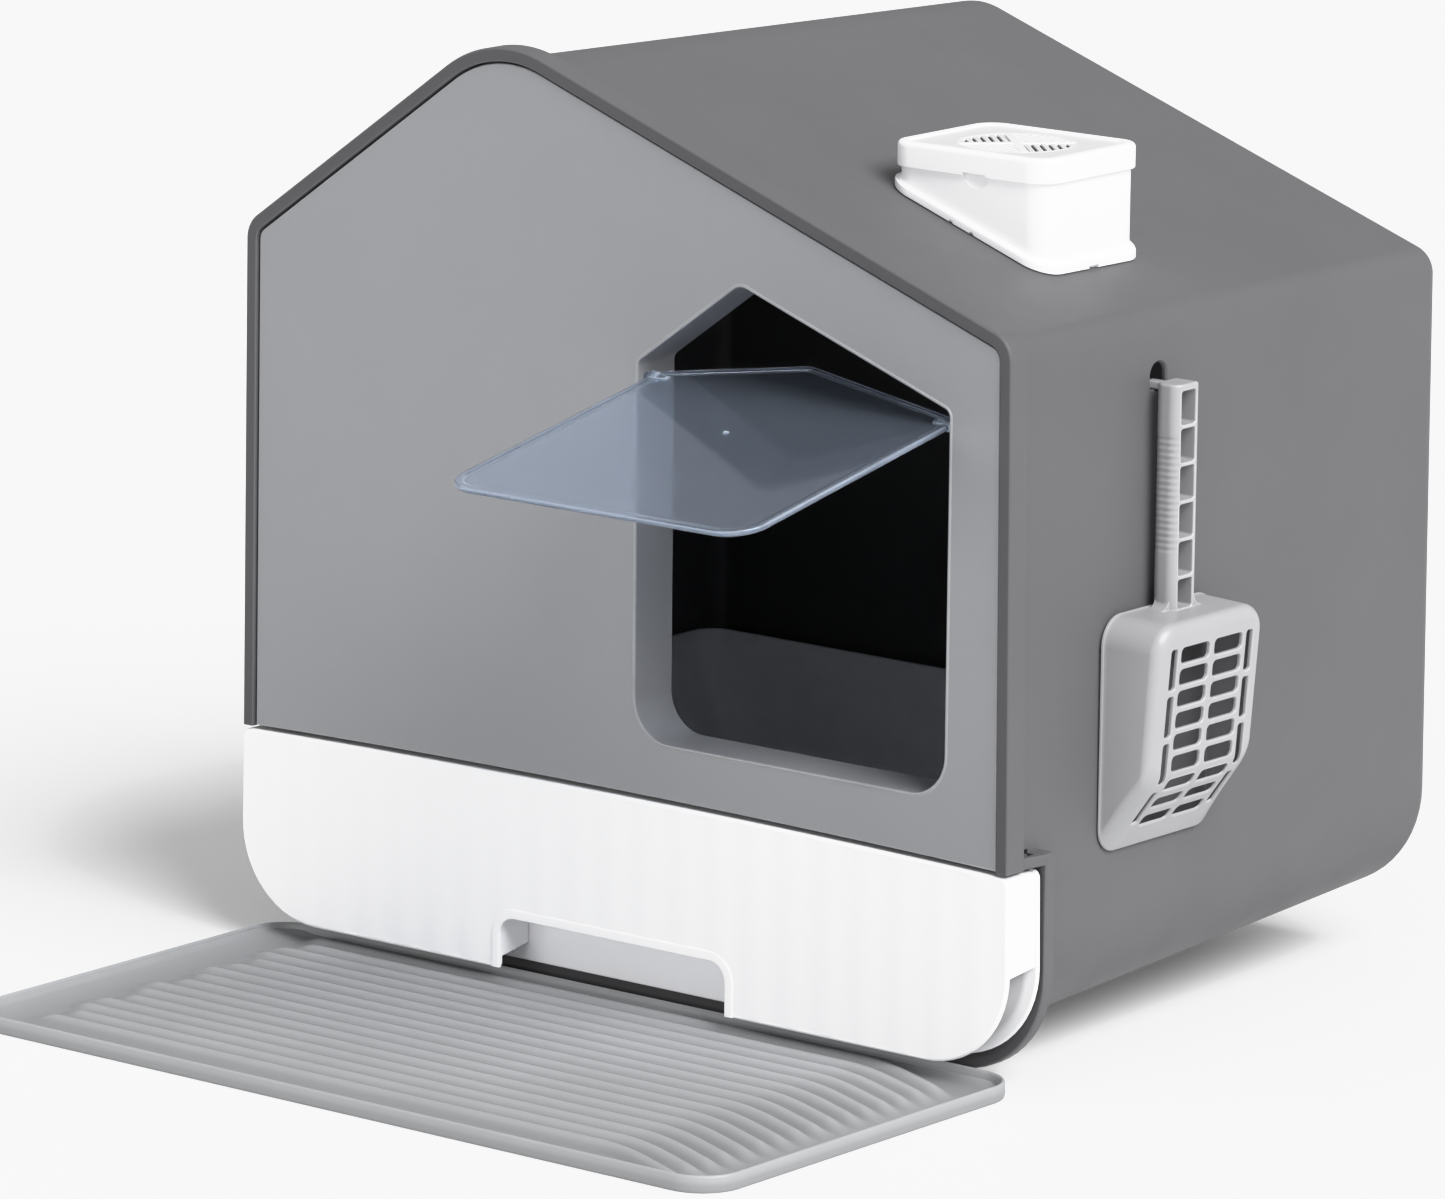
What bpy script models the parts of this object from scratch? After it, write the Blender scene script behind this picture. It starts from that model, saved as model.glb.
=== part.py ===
"""Hooded cat litter box: a gabled house shell with a snap-in front panel, a swinging door flap,
a slide-out litter drawer, a clip-on deodoriser box on the roof, a scoop hung on the side wall
and a loose ribbed entry mat.

Metres, +Z up. Shapes are drawn in the house frame: X runs along the front, Y runs from the front
face (y = 0) to the back, and the floor is z = 0. Every object is a child of the empty
"house_origin", which moves the whole assembly so that the world origin is the bottom centre
of its bounding box.
"""
import math

import bmesh
import bpy
from mathutils import Matrix, Vector

# ---- driving dimensions ---------------------------------------------------------------------
GAP = 0.0003                  # clearance between pieces that touch
HAIR = 0.00003                # keeps joined bodies from sharing a face plane

DEPTH = 0.398                 # front face of the rim to the back wall
FRONT_SPLIT = 0.120           # height where the front panel ends and the drawer begins
DRAWER_TOP = 0.118
DRAWER_BOTTOM = 0.014
DRAWER_HALF = 0.2623          # half width of the drawer front
DRAWER_CORNER = 0.052         # radius of its bottom corners
SEAM_CROWN = 0.0035           # the seam above the drawer rises this much at mid width

RIM_HALF_LOW = 0.2605         # rim half width at its lower end
RIM_HALF_HIGH = 0.2575        # and at the shoulders
RIM_SHOULDER_L = 0.397
RIM_SHOULDER_R = 0.3955
RIM_APEX = (-0.0862, 0.5190)
RIM_DEPTH = 0.0145
RIM_BOTTOM = 0.060            # before the mouth cuts it off at the split
RIM_STEP = 0.0074             # width of the rim's face, over half of the wall's thickness
RIM_APEX_RADIUS = 0.072
SHOULDER_RADIUS = 0.016

WALL = 0.0028                 # moulded wall of the house
WALL_FRONT_Y = 0.008          # the wall starts inside the rim
BACK_FILLET = 0.010
BASE_RADIUS = 0.060           # long bottom corners of the house
WALL_APEX_RADIUS = (0.066, 0.038)        # at the front plane and at the back
WALL_HALF_LOW = (0.2545, 0.2500)
WALL_HALF_HIGH = (0.2515, 0.2470)
WALL_BOTTOM = (0.0162, 0.0343)
WALL_APEX = ((-0.084, 0.5114), (-0.066, 0.4995))
WALL_SHOULDER_L = (0.3928, 0.3713)
WALL_SHOULDER_R = (0.3915, 0.3884)

MOUTH_Y = 0.030               # the lower walls start here, behind the drawer front
COLLAR_DEPTH = 0.0072
COLLAR_HALF = 0.2635
COLLAR_BOTTOM = 0.004
COLLAR_RADIUS = 0.057
BRACKET_HEIGHT = 0.0065

FOOT_TOP = 0.0037             # rubber pads fill the space under the moulded feet
FOOT_RADIUS = 0.010
FRONT_FOOT = (0.150, 0.0435)
REAR_FOOT = (0.105, 0.350)
BOSS_HALF = 0.016             # moulded feet of the house, over the pads
FRONT_BOSS_Y = (-0.010, 0.012)
FRONT_BOSS_TOP = 0.0195
REAR_BOSS_Y = (-0.014, 0.014)
REAR_BOSS_TOP = 0.0338
RAIL_Z = (0.1225, 0.1255)     # rail across the mouth, between panel and drawer
RAIL_Y = (0.0105, 0.028)

PANEL_Y = (0.0015, 0.0041)
PANEL_INSET = 0.0079          # from the rim's outer edge to the panel's edge
CLIP_HEIGHTS = (0.170, 0.330) # snap tabs behind the panel's side edges
CLIP_HALF = 0.008
CLIP_THICKNESS = 0.0022
CLIP_BACK_Y = 0.0200
DOOR_LEFT = 0.014
DOOR_RIGHT = 0.218
DOOR_BOTTOM = 0.1536
DOOR_SHOULDER = 0.3547
DOOR_APEX = (0.081, 0.4032)
DOOR_RADII = (0.022, 0.005, 0.009)       # bottom, shoulder and apex
DOOR_TUNNEL = 0.030           # depth of the sleeve round the doorway
DOOR_SLEEVE = 0.0022

HINGE_Y = 0.0085
HINGE_Z = 0.346
FLAP_OPEN = math.radians(79.2)           # swung outwards from hanging
FLAP_SIDE_GAP = 0.0035
FLAP_DROP = 0.172             # axle to the free edge
FLAP_THICKNESS = 0.0020
FLAP_BEAD = 0.0034
FLAP_BEAD_WIDTH = 0.0045
FLAP_SHOULDER = 0.0060        # shoulders above the axle
FLAP_APEX = (0.0915, 0.0430)  # x of the apex and its height above the axle
FLAP_RADII = (0.018, 0.020, 0.003, 0.008)    # left, right, shoulder and apex
AXLE_RADIUS = 0.0025
AXLE_REACH = 0.010            # length of a stub axle inside the flap
AXLE_PLAY = 0.0004
SOCKET_RADIUS = 0.0060

TUB_WALL = 0.0025
TUB_FRONT_Y = 0.0248
TUB_BACK_Y = 0.385
TUB_TOP = 0.114
TUB_HALF = (0.2485, 0.2440)
TUB_BOTTOM = (0.0218, 0.0385)
FRONT_WALL = 0.0026
SIDE_RETURN_BOTTOM = 0.067
NOTCH_HALF = 0.077            # finger notch in the drawer front
NOTCH_TOP = 0.0425
NOTCH_RADIUS = 0.010
CHEEK_WALL = 0.0022

VENT_X = (0.1003, 0.1990)     # deodoriser box on the right roof slope
VENT_Y = (0.1038, 0.1868)
VENT_TOP = 0.4648
VENT_WALL = 0.0022
VENT_RADIUS = 0.012
LID_TOP = 0.4688
LID_SKIRT = 0.0115
LID_OVERHANG = 0.0023
LID_WALL = 0.0018
LID_PLATE = 0.0024
LID_SLOT_REACH = 0.030        # radius of the slotted area
LID_SLOT_PITCH = 0.0066
LID_SLOT_HALF = 0.0017
FLANGE_OUT = 0.0035
FLANGE_HEIGHT = 0.0060
ROOF_HOLE_INSET = 0.012
PACK_X = (0.1195, 0.1915)     # deodoriser pack on two shelves inside the box
PACK_Z = (0.4412, 0.4522)
PACK_PLAY = 0.0035
SHELF_THICKNESS = 0.0016
SHELF_DEPTH = 0.004

SCOOP_Y = 0.136               # centre line of the scoop and of its slot
SCOOP_X = (0.2535, 0.2905)    # open side by the wall, slotted face outside
SCOOP_Z = (0.113, 0.240)
SCOOP_HALF = 0.0495
SCOOP_WALL = 0.0022
SCOOP_BEND_Z = 0.152          # the slotted face ends here and the slope to the lip begins
SCOOP_COLUMN = 0.0145         # slot columns, either side of the centre line
SCOOP_SLOT = (0.0118, 0.0040)            # half length and half height
SCOOP_SLOT_PITCH = 0.0125
SIDE_SLOT_Y = 0.0335
SIDE_SLOT = (0.0022, 0.011)
SIDE_SLOT_PITCH = 0.0255
HANDLE_X = (0.2547, 0.2687)
HANDLE_HALF = 0.00825
HANDLE_TOP = 0.359
HANDLE_WINDOWS = 6
WINDOW_PITCH = 0.0195
WINDOW_HALF = (0.00545, 0.0083)
HOOK_X = (0.2440, 0.2557)
HOOK_HALF = 0.004
HOOK_HEIGHT = 0.0040
HOOK_LIP = (0.0024, 0.0013)   # length along X and drop below the arm
SLOT_HALF = 0.0065            # slot in the right wall for the hook
SLOT_Z = (0.3515, 0.3655)

MAT_X = (-0.2525, 0.2575)
MAT_Y = (-0.2355, 0.0215)
MAT_RIM = 0.009
MAT_BASE = 0.003
MAT_RIB_TOP = 0.006
MAT_RIBS = 14
MAT_RIB_HALF = 0.0045
MAT_CORNER = 0.028
MAT_RIM_WIDTH = 0.0045
MAT_BORDER = (0.030, 0.022, 0.034, 0.020)    # plain strips left, right, front and back

ASSEMBLY_X = (-COLLAR_HALF, SCOOP_X[1])
ASSEMBLY_Y = (MAT_Y[0], DEPTH)

COLOURS = {                   # base colour and roughness
    "house_grey": ((0.205, 0.205, 0.215), 0.45),
    "panel_grey": ((0.345, 0.350, 0.365), 0.45),
    "flap_frost": ((0.55, 0.60, 0.68), 0.25),
    "drawer_white": ((0.84, 0.84, 0.86), 0.40),
    "vent_white": ((0.90, 0.90, 0.91), 0.38),
    "charcoal": ((0.05, 0.05, 0.05), 0.90),
    "scoop_grey": ((0.42, 0.43, 0.45), 0.42),
    "mat_grey": ((0.36, 0.37, 0.38), 0.60),
    "pad_rubber": ((0.04, 0.04, 0.04), 0.85),
}


# ---- scene helpers --------------------------------------------------------------------------
def clear_scene():
    for old in list(bpy.data.objects):
        bpy.data.objects.remove(old, do_unlink=True)


def make_collection(name):
    group = bpy.data.collections.new(name)
    bpy.context.scene.collection.children.link(group)
    return group


def make_origin():
    """An empty that puts the assembly's bottom centre on the world origin."""
    origin = bpy.data.objects.new("house_origin", None)
    origin.location = (-sum(ASSEMBLY_X) / 2, -sum(ASSEMBLY_Y) / 2, 0)
    bpy.context.scene.collection.objects.link(origin)
    return origin


clear_scene()
PARTS = make_collection("cat_litter_box")
CUTTERS = make_collection("cutters")
ORIGIN = make_origin()


def make_material(name):
    colour, roughness = COLOURS[name]
    material = bpy.data.materials.new(name)
    material.use_nodes = True
    shader = material.node_tree.nodes["Principled BSDF"]
    shader.inputs["Base Color"].default_value = (*colour, 1)
    shader.inputs["Roughness"].default_value = roughness
    shader.inputs["Metallic"].default_value = 0.0
    return material


def as_part(obj, name, material):
    """Names a finished object, gives it a material and files it with the parts."""
    obj.name = name
    obj.data.materials.clear()
    obj.data.materials.append(make_material(material))
    obj.data.shade_smooth()
    obj.data.set_sharp_from_angle(angle=math.radians(35))
    CUTTERS.objects.unlink(obj)
    PARTS.objects.link(obj)
    obj.hide_render = False
    obj.display_type = "TEXTURED"
    return obj


def add_object(name, mesh):
    """A new object starts as a helper: parented to the house origin and hidden from renders."""
    obj = bpy.data.objects.new(name, mesh)
    obj.parent = ORIGIN
    obj.hide_render = True
    obj.display_type = "WIRE"
    CUTTERS.objects.link(obj)
    return obj


def combine(obj, other, operation):
    """Leaves a live EXACT Boolean of the other object on this one."""
    modifier = obj.modifiers.new(f"{operation.lower()}_{other.name}", "BOOLEAN")
    modifier.operation = operation
    modifier.object = other
    modifier.solver = "EXACT"


def join(obj, *others):
    for other in others:
        combine(obj, other, "UNION")


def cut(obj, *others):
    for other in others:
        combine(obj, other, "DIFFERENCE")


# ---- outlines -------------------------------------------------------------------------------
def rounded(corners, steps=4):
    """Outline points of a polygon whose corners (u, v, radius) are rounded by arcs."""
    points = []
    count = len(corners)
    for i, (u, v, radius) in enumerate(corners):
        here = Vector((u, v))
        if radius <= 0:
            points.append(here)
            continue
        before = (Vector(corners[i - 1][:2]) - here).normalized()
        after = (Vector(corners[(i + 1) % count][:2]) - here).normalized()
        half = before.angle(after) / 2
        centre = here + (before + after).normalized() * (radius / math.sin(half))
        start = here + before * (radius / math.tan(half)) - centre
        sweep = start.angle_signed(here + after * (radius / math.tan(half)) - centre)
        for step in range(steps + 1):
            turn = Matrix.Rotation(-sweep * step / steps, 2)
            points.append(centre + turn @ start)
    return points


def inset(corners, distance):
    """The same counter-clockwise polygon with every edge moved inwards."""
    count = len(corners)
    moved = []
    for i, (u, v, radius) in enumerate(corners):
        here = Vector((u, v))
        edge_in = (here - Vector(corners[i - 1][:2])).normalized()
        edge_out = (Vector(corners[(i + 1) % count][:2]) - here).normalized()
        normal_in = Vector((-edge_in.y, edge_in.x))
        normal_out = Vector((-edge_out.y, edge_out.x))
        shift = (normal_in + normal_out) * (distance / (1 + normal_in.dot(normal_out)))
        moved.append((u + shift.x, v + shift.y, max(radius - distance, 0) if radius else 0))
    return moved


def box_outline(u, v, radius=0.0):
    return [(u[0], v[0], radius), (u[1], v[0], radius), (u[1], v[1], radius), (u[0], v[1], radius)]


def gable_outline(low, high, bottom, shoulders, apex, radii):
    """Pentagon, counter-clockwise from bottom left; radii are base, shoulder and apex."""
    base_radius, shoulder_radius, apex_radius = radii
    return [
        (-low, bottom, base_radius),
        (low, bottom, base_radius),
        (high, shoulders[1], shoulder_radius),
        (apex[0], apex[1], apex_radius),
        (-high, shoulders[0], shoulder_radius),
    ]


def crowned_top(half, height, steps=8):
    """Points of a shallow arch from right to left along the seam above the drawer."""
    points = []
    for step in range(steps + 1):
        along = 1 - 2 * step / steps
        points.append((half * along, height + SEAM_CROWN * (1 - along * along), 0))
    return points


# ---- solids ---------------------------------------------------------------------------------
def plate(name, outlines, thickness):
    """A flat plate in the local XY plane; the outlines after the first one are holes."""
    curve = bpy.data.curves.new(name, "CURVE")
    curve.dimensions = "2D"
    curve.fill_mode = "BOTH"
    curve.extrude = thickness / 2
    for outline in outlines:
        spline = curve.splines.new("POLY")
        spline.points.add(len(outline) - 1)
        for point, (u, v) in zip(spline.points, outline):
            point.co = (u, v, 0, 1)
        spline.use_cyclic_u = True
    guide = bpy.data.objects.new(name + "_curve", curve)
    bpy.context.scene.collection.objects.link(guide)
    graph = bpy.context.evaluated_depsgraph_get()
    mesh = bpy.data.meshes.new_from_object(guide.evaluated_get(graph))
    mesh.name = name
    bpy.data.objects.remove(guide, do_unlink=True)
    shape = bmesh.new()
    shape.from_mesh(mesh)
    bmesh.ops.remove_doubles(shape, verts=shape.verts, dist=0.00001)
    bmesh.ops.recalc_face_normals(shape, faces=shape.faces)
    shape.to_mesh(mesh)
    shape.free()
    return add_object(name, mesh)


def upright(name, outlines, y_range):
    """A plate whose outlines are (x, z) and whose thickness runs along Y."""
    obj = plate(name, outlines, y_range[1] - y_range[0])
    obj.rotation_euler.x = math.pi / 2
    obj.location.y = sum(y_range) / 2
    return obj


def sideways(name, outlines, x_range):
    """A plate whose outlines are (y, z) and whose thickness runs along X."""
    obj = plate(name, outlines, x_range[1] - x_range[0])
    obj.rotation_euler = (math.pi / 2, 0, math.pi / 2)
    obj.location.x = sum(x_range) / 2
    return obj


def level(name, outlines, z_range):
    """A plate whose outlines are (x, y) and whose thickness runs along Z."""
    obj = plate(name, outlines, z_range[1] - z_range[0])
    obj.location.z = sum(z_range) / 2
    return obj


def block(name, x_range, y_range, z_range):
    """A box primitive between two corners."""
    shape = bmesh.new()
    bmesh.ops.create_cube(shape, size=1)
    size = Vector((x_range[1] - x_range[0], y_range[1] - y_range[0], z_range[1] - z_range[0]))
    bmesh.ops.scale(shape, verts=shape.verts, vec=size)
    mesh = bpy.data.meshes.new(name)
    shape.to_mesh(mesh)
    shape.free()
    obj = add_object(name, mesh)
    obj.location = (sum(x_range) / 2, sum(y_range) / 2, sum(z_range) / 2)
    return obj


def rod(name, radius, x_range, y, z, segments=16):
    """A cylinder along X."""
    shape = bmesh.new()
    bmesh.ops.create_cone(shape, cap_ends=True, segments=segments, radius1=radius,
                          radius2=radius, depth=x_range[1] - x_range[0])
    mesh = bpy.data.meshes.new(name)
    shape.to_mesh(mesh)
    shape.free()
    obj = add_object(name, mesh)
    obj.rotation_euler.y = math.pi / 2
    obj.location = (sum(x_range) / 2, y, z)
    return obj


def several(name, pieces):
    """Joins plain helper objects into one mesh of separate bodies."""
    shape = bmesh.new()
    for piece in pieces:
        mesh = piece.data
        start = len(shape.verts)
        shape.from_mesh(mesh)
        shape.verts.ensure_lookup_table()
        place = Matrix.LocRotScale(piece.location, piece.rotation_euler, piece.scale)
        bmesh.ops.transform(shape, matrix=place, verts=shape.verts[start:])
        bpy.data.objects.remove(piece, do_unlink=True)
    mesh = bpy.data.meshes.new(name)
    shape.to_mesh(mesh)
    shape.free()
    return add_object(name, mesh)


def loft(name, sections, closed=True):
    """An open skin through sections of equal length, with the last section capped.

    A section runs counter-clockwise seen from the front, and sections follow each other
    towards +Y, so the faces point outwards."""
    shape = bmesh.new()
    rings = [[shape.verts.new(point) for point in section] for section in sections]
    count = len(rings[0])
    last = count if closed else count - 1
    for front, back in zip(rings, rings[1:]):
        for i in range(last):
            j = (i + 1) % count
            shape.faces.new((front[i], back[i], back[j], front[j]))
    shape.faces.new(list(reversed(rings[-1])))
    mesh = bpy.data.meshes.new(name)
    shape.to_mesh(mesh)
    shape.free()
    return add_object(name, mesh)


def thicken(obj, thickness):
    """Gives an open skin its wall, inwards."""
    modifier = obj.modifiers.new("wall", "SOLIDIFY")
    modifier.thickness = thickness
    modifier.offset = -1
    modifier.use_even_offset = True


def fillet(obj, width, segments, angle):
    modifier = obj.modifiers.new("fillet", "BEVEL")
    modifier.width = width
    modifier.segments = segments
    modifier.limit_method = "ANGLE"
    modifier.angle_limit = math.radians(angle)


# ---- the house ------------------------------------------------------------------------------
def along(pair, y):
    """Linear taper of a wall value from the front plane to the back."""
    return pair[0] + (pair[1] - pair[0]) * y / DEPTH


def wall_section(y):
    apex_x = along((WALL_APEX[0][0], WALL_APEX[1][0]), y)
    apex_z = along((WALL_APEX[0][1], WALL_APEX[1][1]), y)
    corners = gable_outline(
        along(WALL_HALF_LOW, y),
        along(WALL_HALF_HIGH, y),
        along(WALL_BOTTOM, y),
        (along(WALL_SHOULDER_L, y), along(WALL_SHOULDER_R, y)),
        (apex_x, apex_z),
        (BASE_RADIUS, SHOULDER_RADIUS, along(WALL_APEX_RADIUS, y)),
    )
    return [Vector((u, y, v)) for u, v in rounded(corners, steps=5)]


def rim_corners(bottom):
    """The rim's outer edge, its straight sides carried down to the given height."""
    flare = (RIM_HALF_LOW - RIM_HALF_HIGH) / (RIM_SHOULDER_R - FRONT_SPLIT)
    low = RIM_HALF_LOW + flare * (FRONT_SPLIT - bottom)
    return gable_outline(low, RIM_HALF_HIGH, bottom, (RIM_SHOULDER_L, RIM_SHOULDER_R),
                         RIM_APEX, (0, SHOULDER_RADIUS, RIM_APEX_RADIUS))


def collar_outline():
    """U-shaped flange round the drawer mouth."""
    top = FRONT_SPLIT + BRACKET_HEIGHT
    inner_half = along(WALL_HALF_LOW, MOUTH_Y) - WALL / 2
    inner_bottom = along(WALL_BOTTOM, MOUTH_Y) + WALL / 2
    inner_radius = BASE_RADIUS - WALL / 2
    return [
        (-COLLAR_HALF, COLLAR_BOTTOM, COLLAR_RADIUS),
        (COLLAR_HALF, COLLAR_BOTTOM, COLLAR_RADIUS),
        (COLLAR_HALF, top, 0),
        (inner_half, top, 0),
        (inner_half, inner_bottom, inner_radius),
        (-inner_half, inner_bottom, inner_radius),
        (-inner_half, top, 0),
        (-COLLAR_HALF, top, 0),
    ]


def foot_boss(name, spot, side, y_reach, top):
    """Moulded foot under the house, from just above its rubber pad up into the shell."""
    x, y = spot
    x_range = sorted((side * (x - BOSS_HALF), side * (x + BOSS_HALF)))
    return block(name, x_range, (y + y_reach[0], y + y_reach[1]), (FOOT_TOP + GAP, top))


def scoop_slot():
    """Cutter for the obround slot in the right wall."""
    top_radius = SLOT_HALF * 0.98
    outline = [
        (SCOOP_Y - SLOT_HALF, SLOT_Z[0], 0.002),
        (SCOOP_Y + SLOT_HALF, SLOT_Z[0], 0.002),
        (SCOOP_Y + SLOT_HALF, SLOT_Z[1], top_radius),
        (SCOOP_Y - SLOT_HALF, SLOT_Z[1], top_radius),
    ]
    return sideways("scoop_slot", [rounded(outline)], (0.235, 0.265))


def roof_cutter(name, lift, side):
    """A slab parallel to the right roof slope: above (side 1) or below (side -1) the plane
    that lies lift over the roof's outer face."""
    x, y = sum(VENT_X) / 2, sum(VENT_Y) / 2
    base = Vector((x, y, roof_height(x, y)))
    down = Vector((0.1, 0, roof_height(x + 0.1, y) - base.z))
    back = Vector((0, 0.1, roof_height(x, y + 0.1) - base.z))
    normal = down.cross(back).normalized()
    thickness = 0.12
    slab = block(name, (-0.12, 0.12), (-0.12, 0.12), (-thickness / 2, thickness / 2))
    slab.rotation_mode = "QUATERNION"
    slab.rotation_quaternion = Vector((0, 0, 1)).rotation_difference(normal)
    slab.location = base + normal * (lift + side * thickness / 2)
    return slab


def roof_height(x, y):
    """Height of the right roof slope's outer face."""
    apex_x = along((WALL_APEX[0][0], WALL_APEX[1][0]), y)
    apex_z = along((WALL_APEX[0][1], WALL_APEX[1][1]), y)
    shoulder_x = along(WALL_HALF_HIGH, y)
    shoulder_z = along(WALL_SHOULDER_R, y)
    return apex_z + (shoulder_z - apex_z) * (x - apex_x) / (shoulder_x - apex_x)


def house_shell():
    sections = [wall_section(WALL_FRONT_Y), wall_section(DEPTH)]
    shell = loft("shell_skin", sections)
    fillet(shell, BACK_FILLET, 2, 60)
    thicken(shell, WALL)

    ring = rim_corners(RIM_BOTTOM)
    rim = upright("rim", [rounded(ring, 5), rounded(inset(ring, RIM_STEP), 5)], (0, RIM_DEPTH))
    mouth = block("mouth", (-0.3, 0.3), (-0.02, MOUTH_Y), (-0.02, FRONT_SPLIT))
    join(shell, rim)
    cut(shell, mouth)

    collar_y = (MOUTH_Y - WALL * 0.3, MOUTH_Y + COLLAR_DEPTH)
    collar = upright("collar", [rounded(collar_outline(), 5)], collar_y)
    join(shell, collar)
    wall_x = along(WALL_HALF_LOW, 0) - WALL / 2
    for side in (-1, 1):
        x_range = sorted((side * wall_x, side * COLLAR_HALF))
        y_range = (RIM_DEPTH / 2, MOUTH_Y + COLLAR_DEPTH / 2)
        z_range = (FRONT_SPLIT + GAP, FRONT_SPLIT + BRACKET_HEIGHT - GAP)
        join(shell, block(f"bracket_{side}", x_range, y_range, z_range))
    join(shell, block("cross_rail", (-wall_x, wall_x), RAIL_Y, RAIL_Z))
    for side in (-1, 1):
        join(shell, foot_boss(f"front_boss_{side}", FRONT_FOOT, side, FRONT_BOSS_Y, FRONT_BOSS_TOP))
        join(shell, foot_boss(f"rear_boss_{side}", REAR_FOOT, side, REAR_BOSS_Y, REAR_BOSS_TOP))

    cut(shell, scoop_slot())
    hole_x = (VENT_X[0] + ROOF_HOLE_INSET, VENT_X[1] - ROOF_HOLE_INSET)
    hole_y = (VENT_Y[0] + ROOF_HOLE_INSET, VENT_Y[1] - ROOF_HOLE_INSET)
    cut(shell, level("roof_opening", [rounded(box_outline(hole_x, hole_y, 0.008))], (0.38, 0.48)))
    return as_part(shell, "house_shell", "house_grey")


def foot_pads():
    spots = {
        "foot_pad_front_left": (-FRONT_FOOT[0], FRONT_FOOT[1]),
        "foot_pad_front_right": (FRONT_FOOT[0], FRONT_FOOT[1]),
        "foot_pad_rear_left": (-REAR_FOOT[0], REAR_FOOT[1]),
        "foot_pad_rear_right": (REAR_FOOT[0], REAR_FOOT[1]),
    }
    for name, (x, y) in spots.items():
        shape = bmesh.new()
        bmesh.ops.create_cone(shape, cap_ends=True, segments=20, radius1=FOOT_RADIUS - 0.0008,
                              radius2=FOOT_RADIUS, depth=FOOT_TOP)
        mesh = bpy.data.meshes.new(name)
        shape.to_mesh(mesh)
        shape.free()
        pad = add_object(name, mesh)
        pad.location = (x, y, FOOT_TOP / 2)
        as_part(pad, name, "pad_rubber")


# ---- front panel and flap -------------------------------------------------------------------
def door_corners():
    bottom_radius, shoulder_radius, apex_radius = DOOR_RADII
    return [
        (DOOR_LEFT, DOOR_BOTTOM, bottom_radius),
        (DOOR_RIGHT, DOOR_BOTTOM, bottom_radius),
        (DOOR_RIGHT, DOOR_SHOULDER, shoulder_radius),
        (DOOR_APEX[0], DOOR_APEX[1], apex_radius),
        (DOOR_LEFT, DOOR_SHOULDER, shoulder_radius),
    ]


def front_panel():
    top = inset(rim_corners(RIM_BOTTOM), PANEL_INSET)[2:]
    seam = crowned_top(RIM_HALF_LOW - PANEL_INSET, FRONT_SPLIT + GAP)
    outline = rounded(seam[::-1] + top, 5)
    door = rounded(door_corners())
    panel = upright("panel_plate", [outline, door], PANEL_Y)
    outer = rounded(inset(door_corners(), -DOOR_SLEEVE))
    sleeve_y = (PANEL_Y[0] + 0.0008, PANEL_Y[0] + DOOR_TUNNEL)
    lining = rounded(inset(door_corners(), -HAIR))
    join(panel, upright("door_sleeve", [outer, lining], sleeve_y))
    clip_x = along(WALL_HALF_HIGH, 0) - WALL - 2 * GAP
    clip_y = (PANEL_Y[1] - 0.001, CLIP_BACK_Y)
    for side in (-1, 1):
        for z in CLIP_HEIGHTS:
            x_range = sorted((side * clip_x, side * (clip_x - CLIP_THICKNESS)))
            z_range = (z - CLIP_HALF, z + CLIP_HALF)
            join(panel, block(f"clip_{side}_{z}", x_range, clip_y, z_range))
    for side, face in ((-1, DOOR_LEFT), (1, DOOR_RIGHT)):
        boss_x = sorted((face + side * DOOR_SLEEVE * 0.5, face + side * (DOOR_SLEEVE + 0.003)))
        join(panel, rod(f"hinge_boss_{side}", SOCKET_RADIUS, boss_x, HINGE_Y + 0.002, HINGE_Z))
    sockets_x = (DOOR_LEFT - 0.012, DOOR_RIGHT + 0.012)
    cut(panel, rod("hinge_sockets", AXLE_RADIUS + AXLE_PLAY, sockets_x, HINGE_Y, HINGE_Z))
    return as_part(panel, "front_panel", "panel_grey")


def door_flap():
    """Drawn hanging, about its axle, then swung open; the object's origin is on the axle."""
    left = DOOR_LEFT + FLAP_SIDE_GAP
    right = DOOR_RIGHT - FLAP_SIDE_GAP
    left_radius, right_radius, shoulder_radius, apex_radius = FLAP_RADII
    corners = [
        (left, -FLAP_DROP, left_radius),
        (right, -FLAP_DROP, right_radius),
        (right, FLAP_SHOULDER, shoulder_radius),
        (FLAP_APEX[0], FLAP_APEX[1], apex_radius),
        (left, FLAP_SHOULDER, shoulder_radius),
    ]
    flap = upright("flap_plate", [rounded(corners)], (-FLAP_THICKNESS / 2, FLAP_THICKNESS / 2))
    inner = rounded(inset(corners, FLAP_BEAD_WIDTH))
    edge = rounded(inset(corners, -HAIR))
    pieces = [upright("flap_bead", [edge, inner], (-FLAP_BEAD / 2, FLAP_BEAD / 2))]
    stub_out = DOOR_SLEEVE - 0.0002
    left_stub = (DOOR_LEFT - stub_out, left + AXLE_REACH)
    right_stub = (right - AXLE_REACH, DOOR_RIGHT + stub_out)
    pieces.append(rod("axle_left", AXLE_RADIUS, left_stub, 0, 0, 12))
    pieces.append(rod("axle_right", AXLE_RADIUS, right_stub, 0, 0, 12))
    swing = Matrix.Rotation(-FLAP_OPEN, 4, "X")
    place = Matrix.Translation((0, HINGE_Y, HINGE_Z)) @ swing
    flap.matrix_basis = place @ Matrix.Rotation(math.pi / 2, 4, "X")
    for piece in pieces:
        local = Matrix.LocRotScale(piece.location, piece.rotation_euler, None)
        piece.matrix_basis = place @ local
        join(flap, piece)
    return as_part(flap, "door_flap", "flap_frost")


# ---- drawer ---------------------------------------------------------------------------------
def drawer_outline(bottom, radius, top):
    base = [(-DRAWER_HALF, bottom, radius), (DRAWER_HALF, bottom, radius)]
    return base + crowned_top(DRAWER_HALF - 0.002, top)


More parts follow.
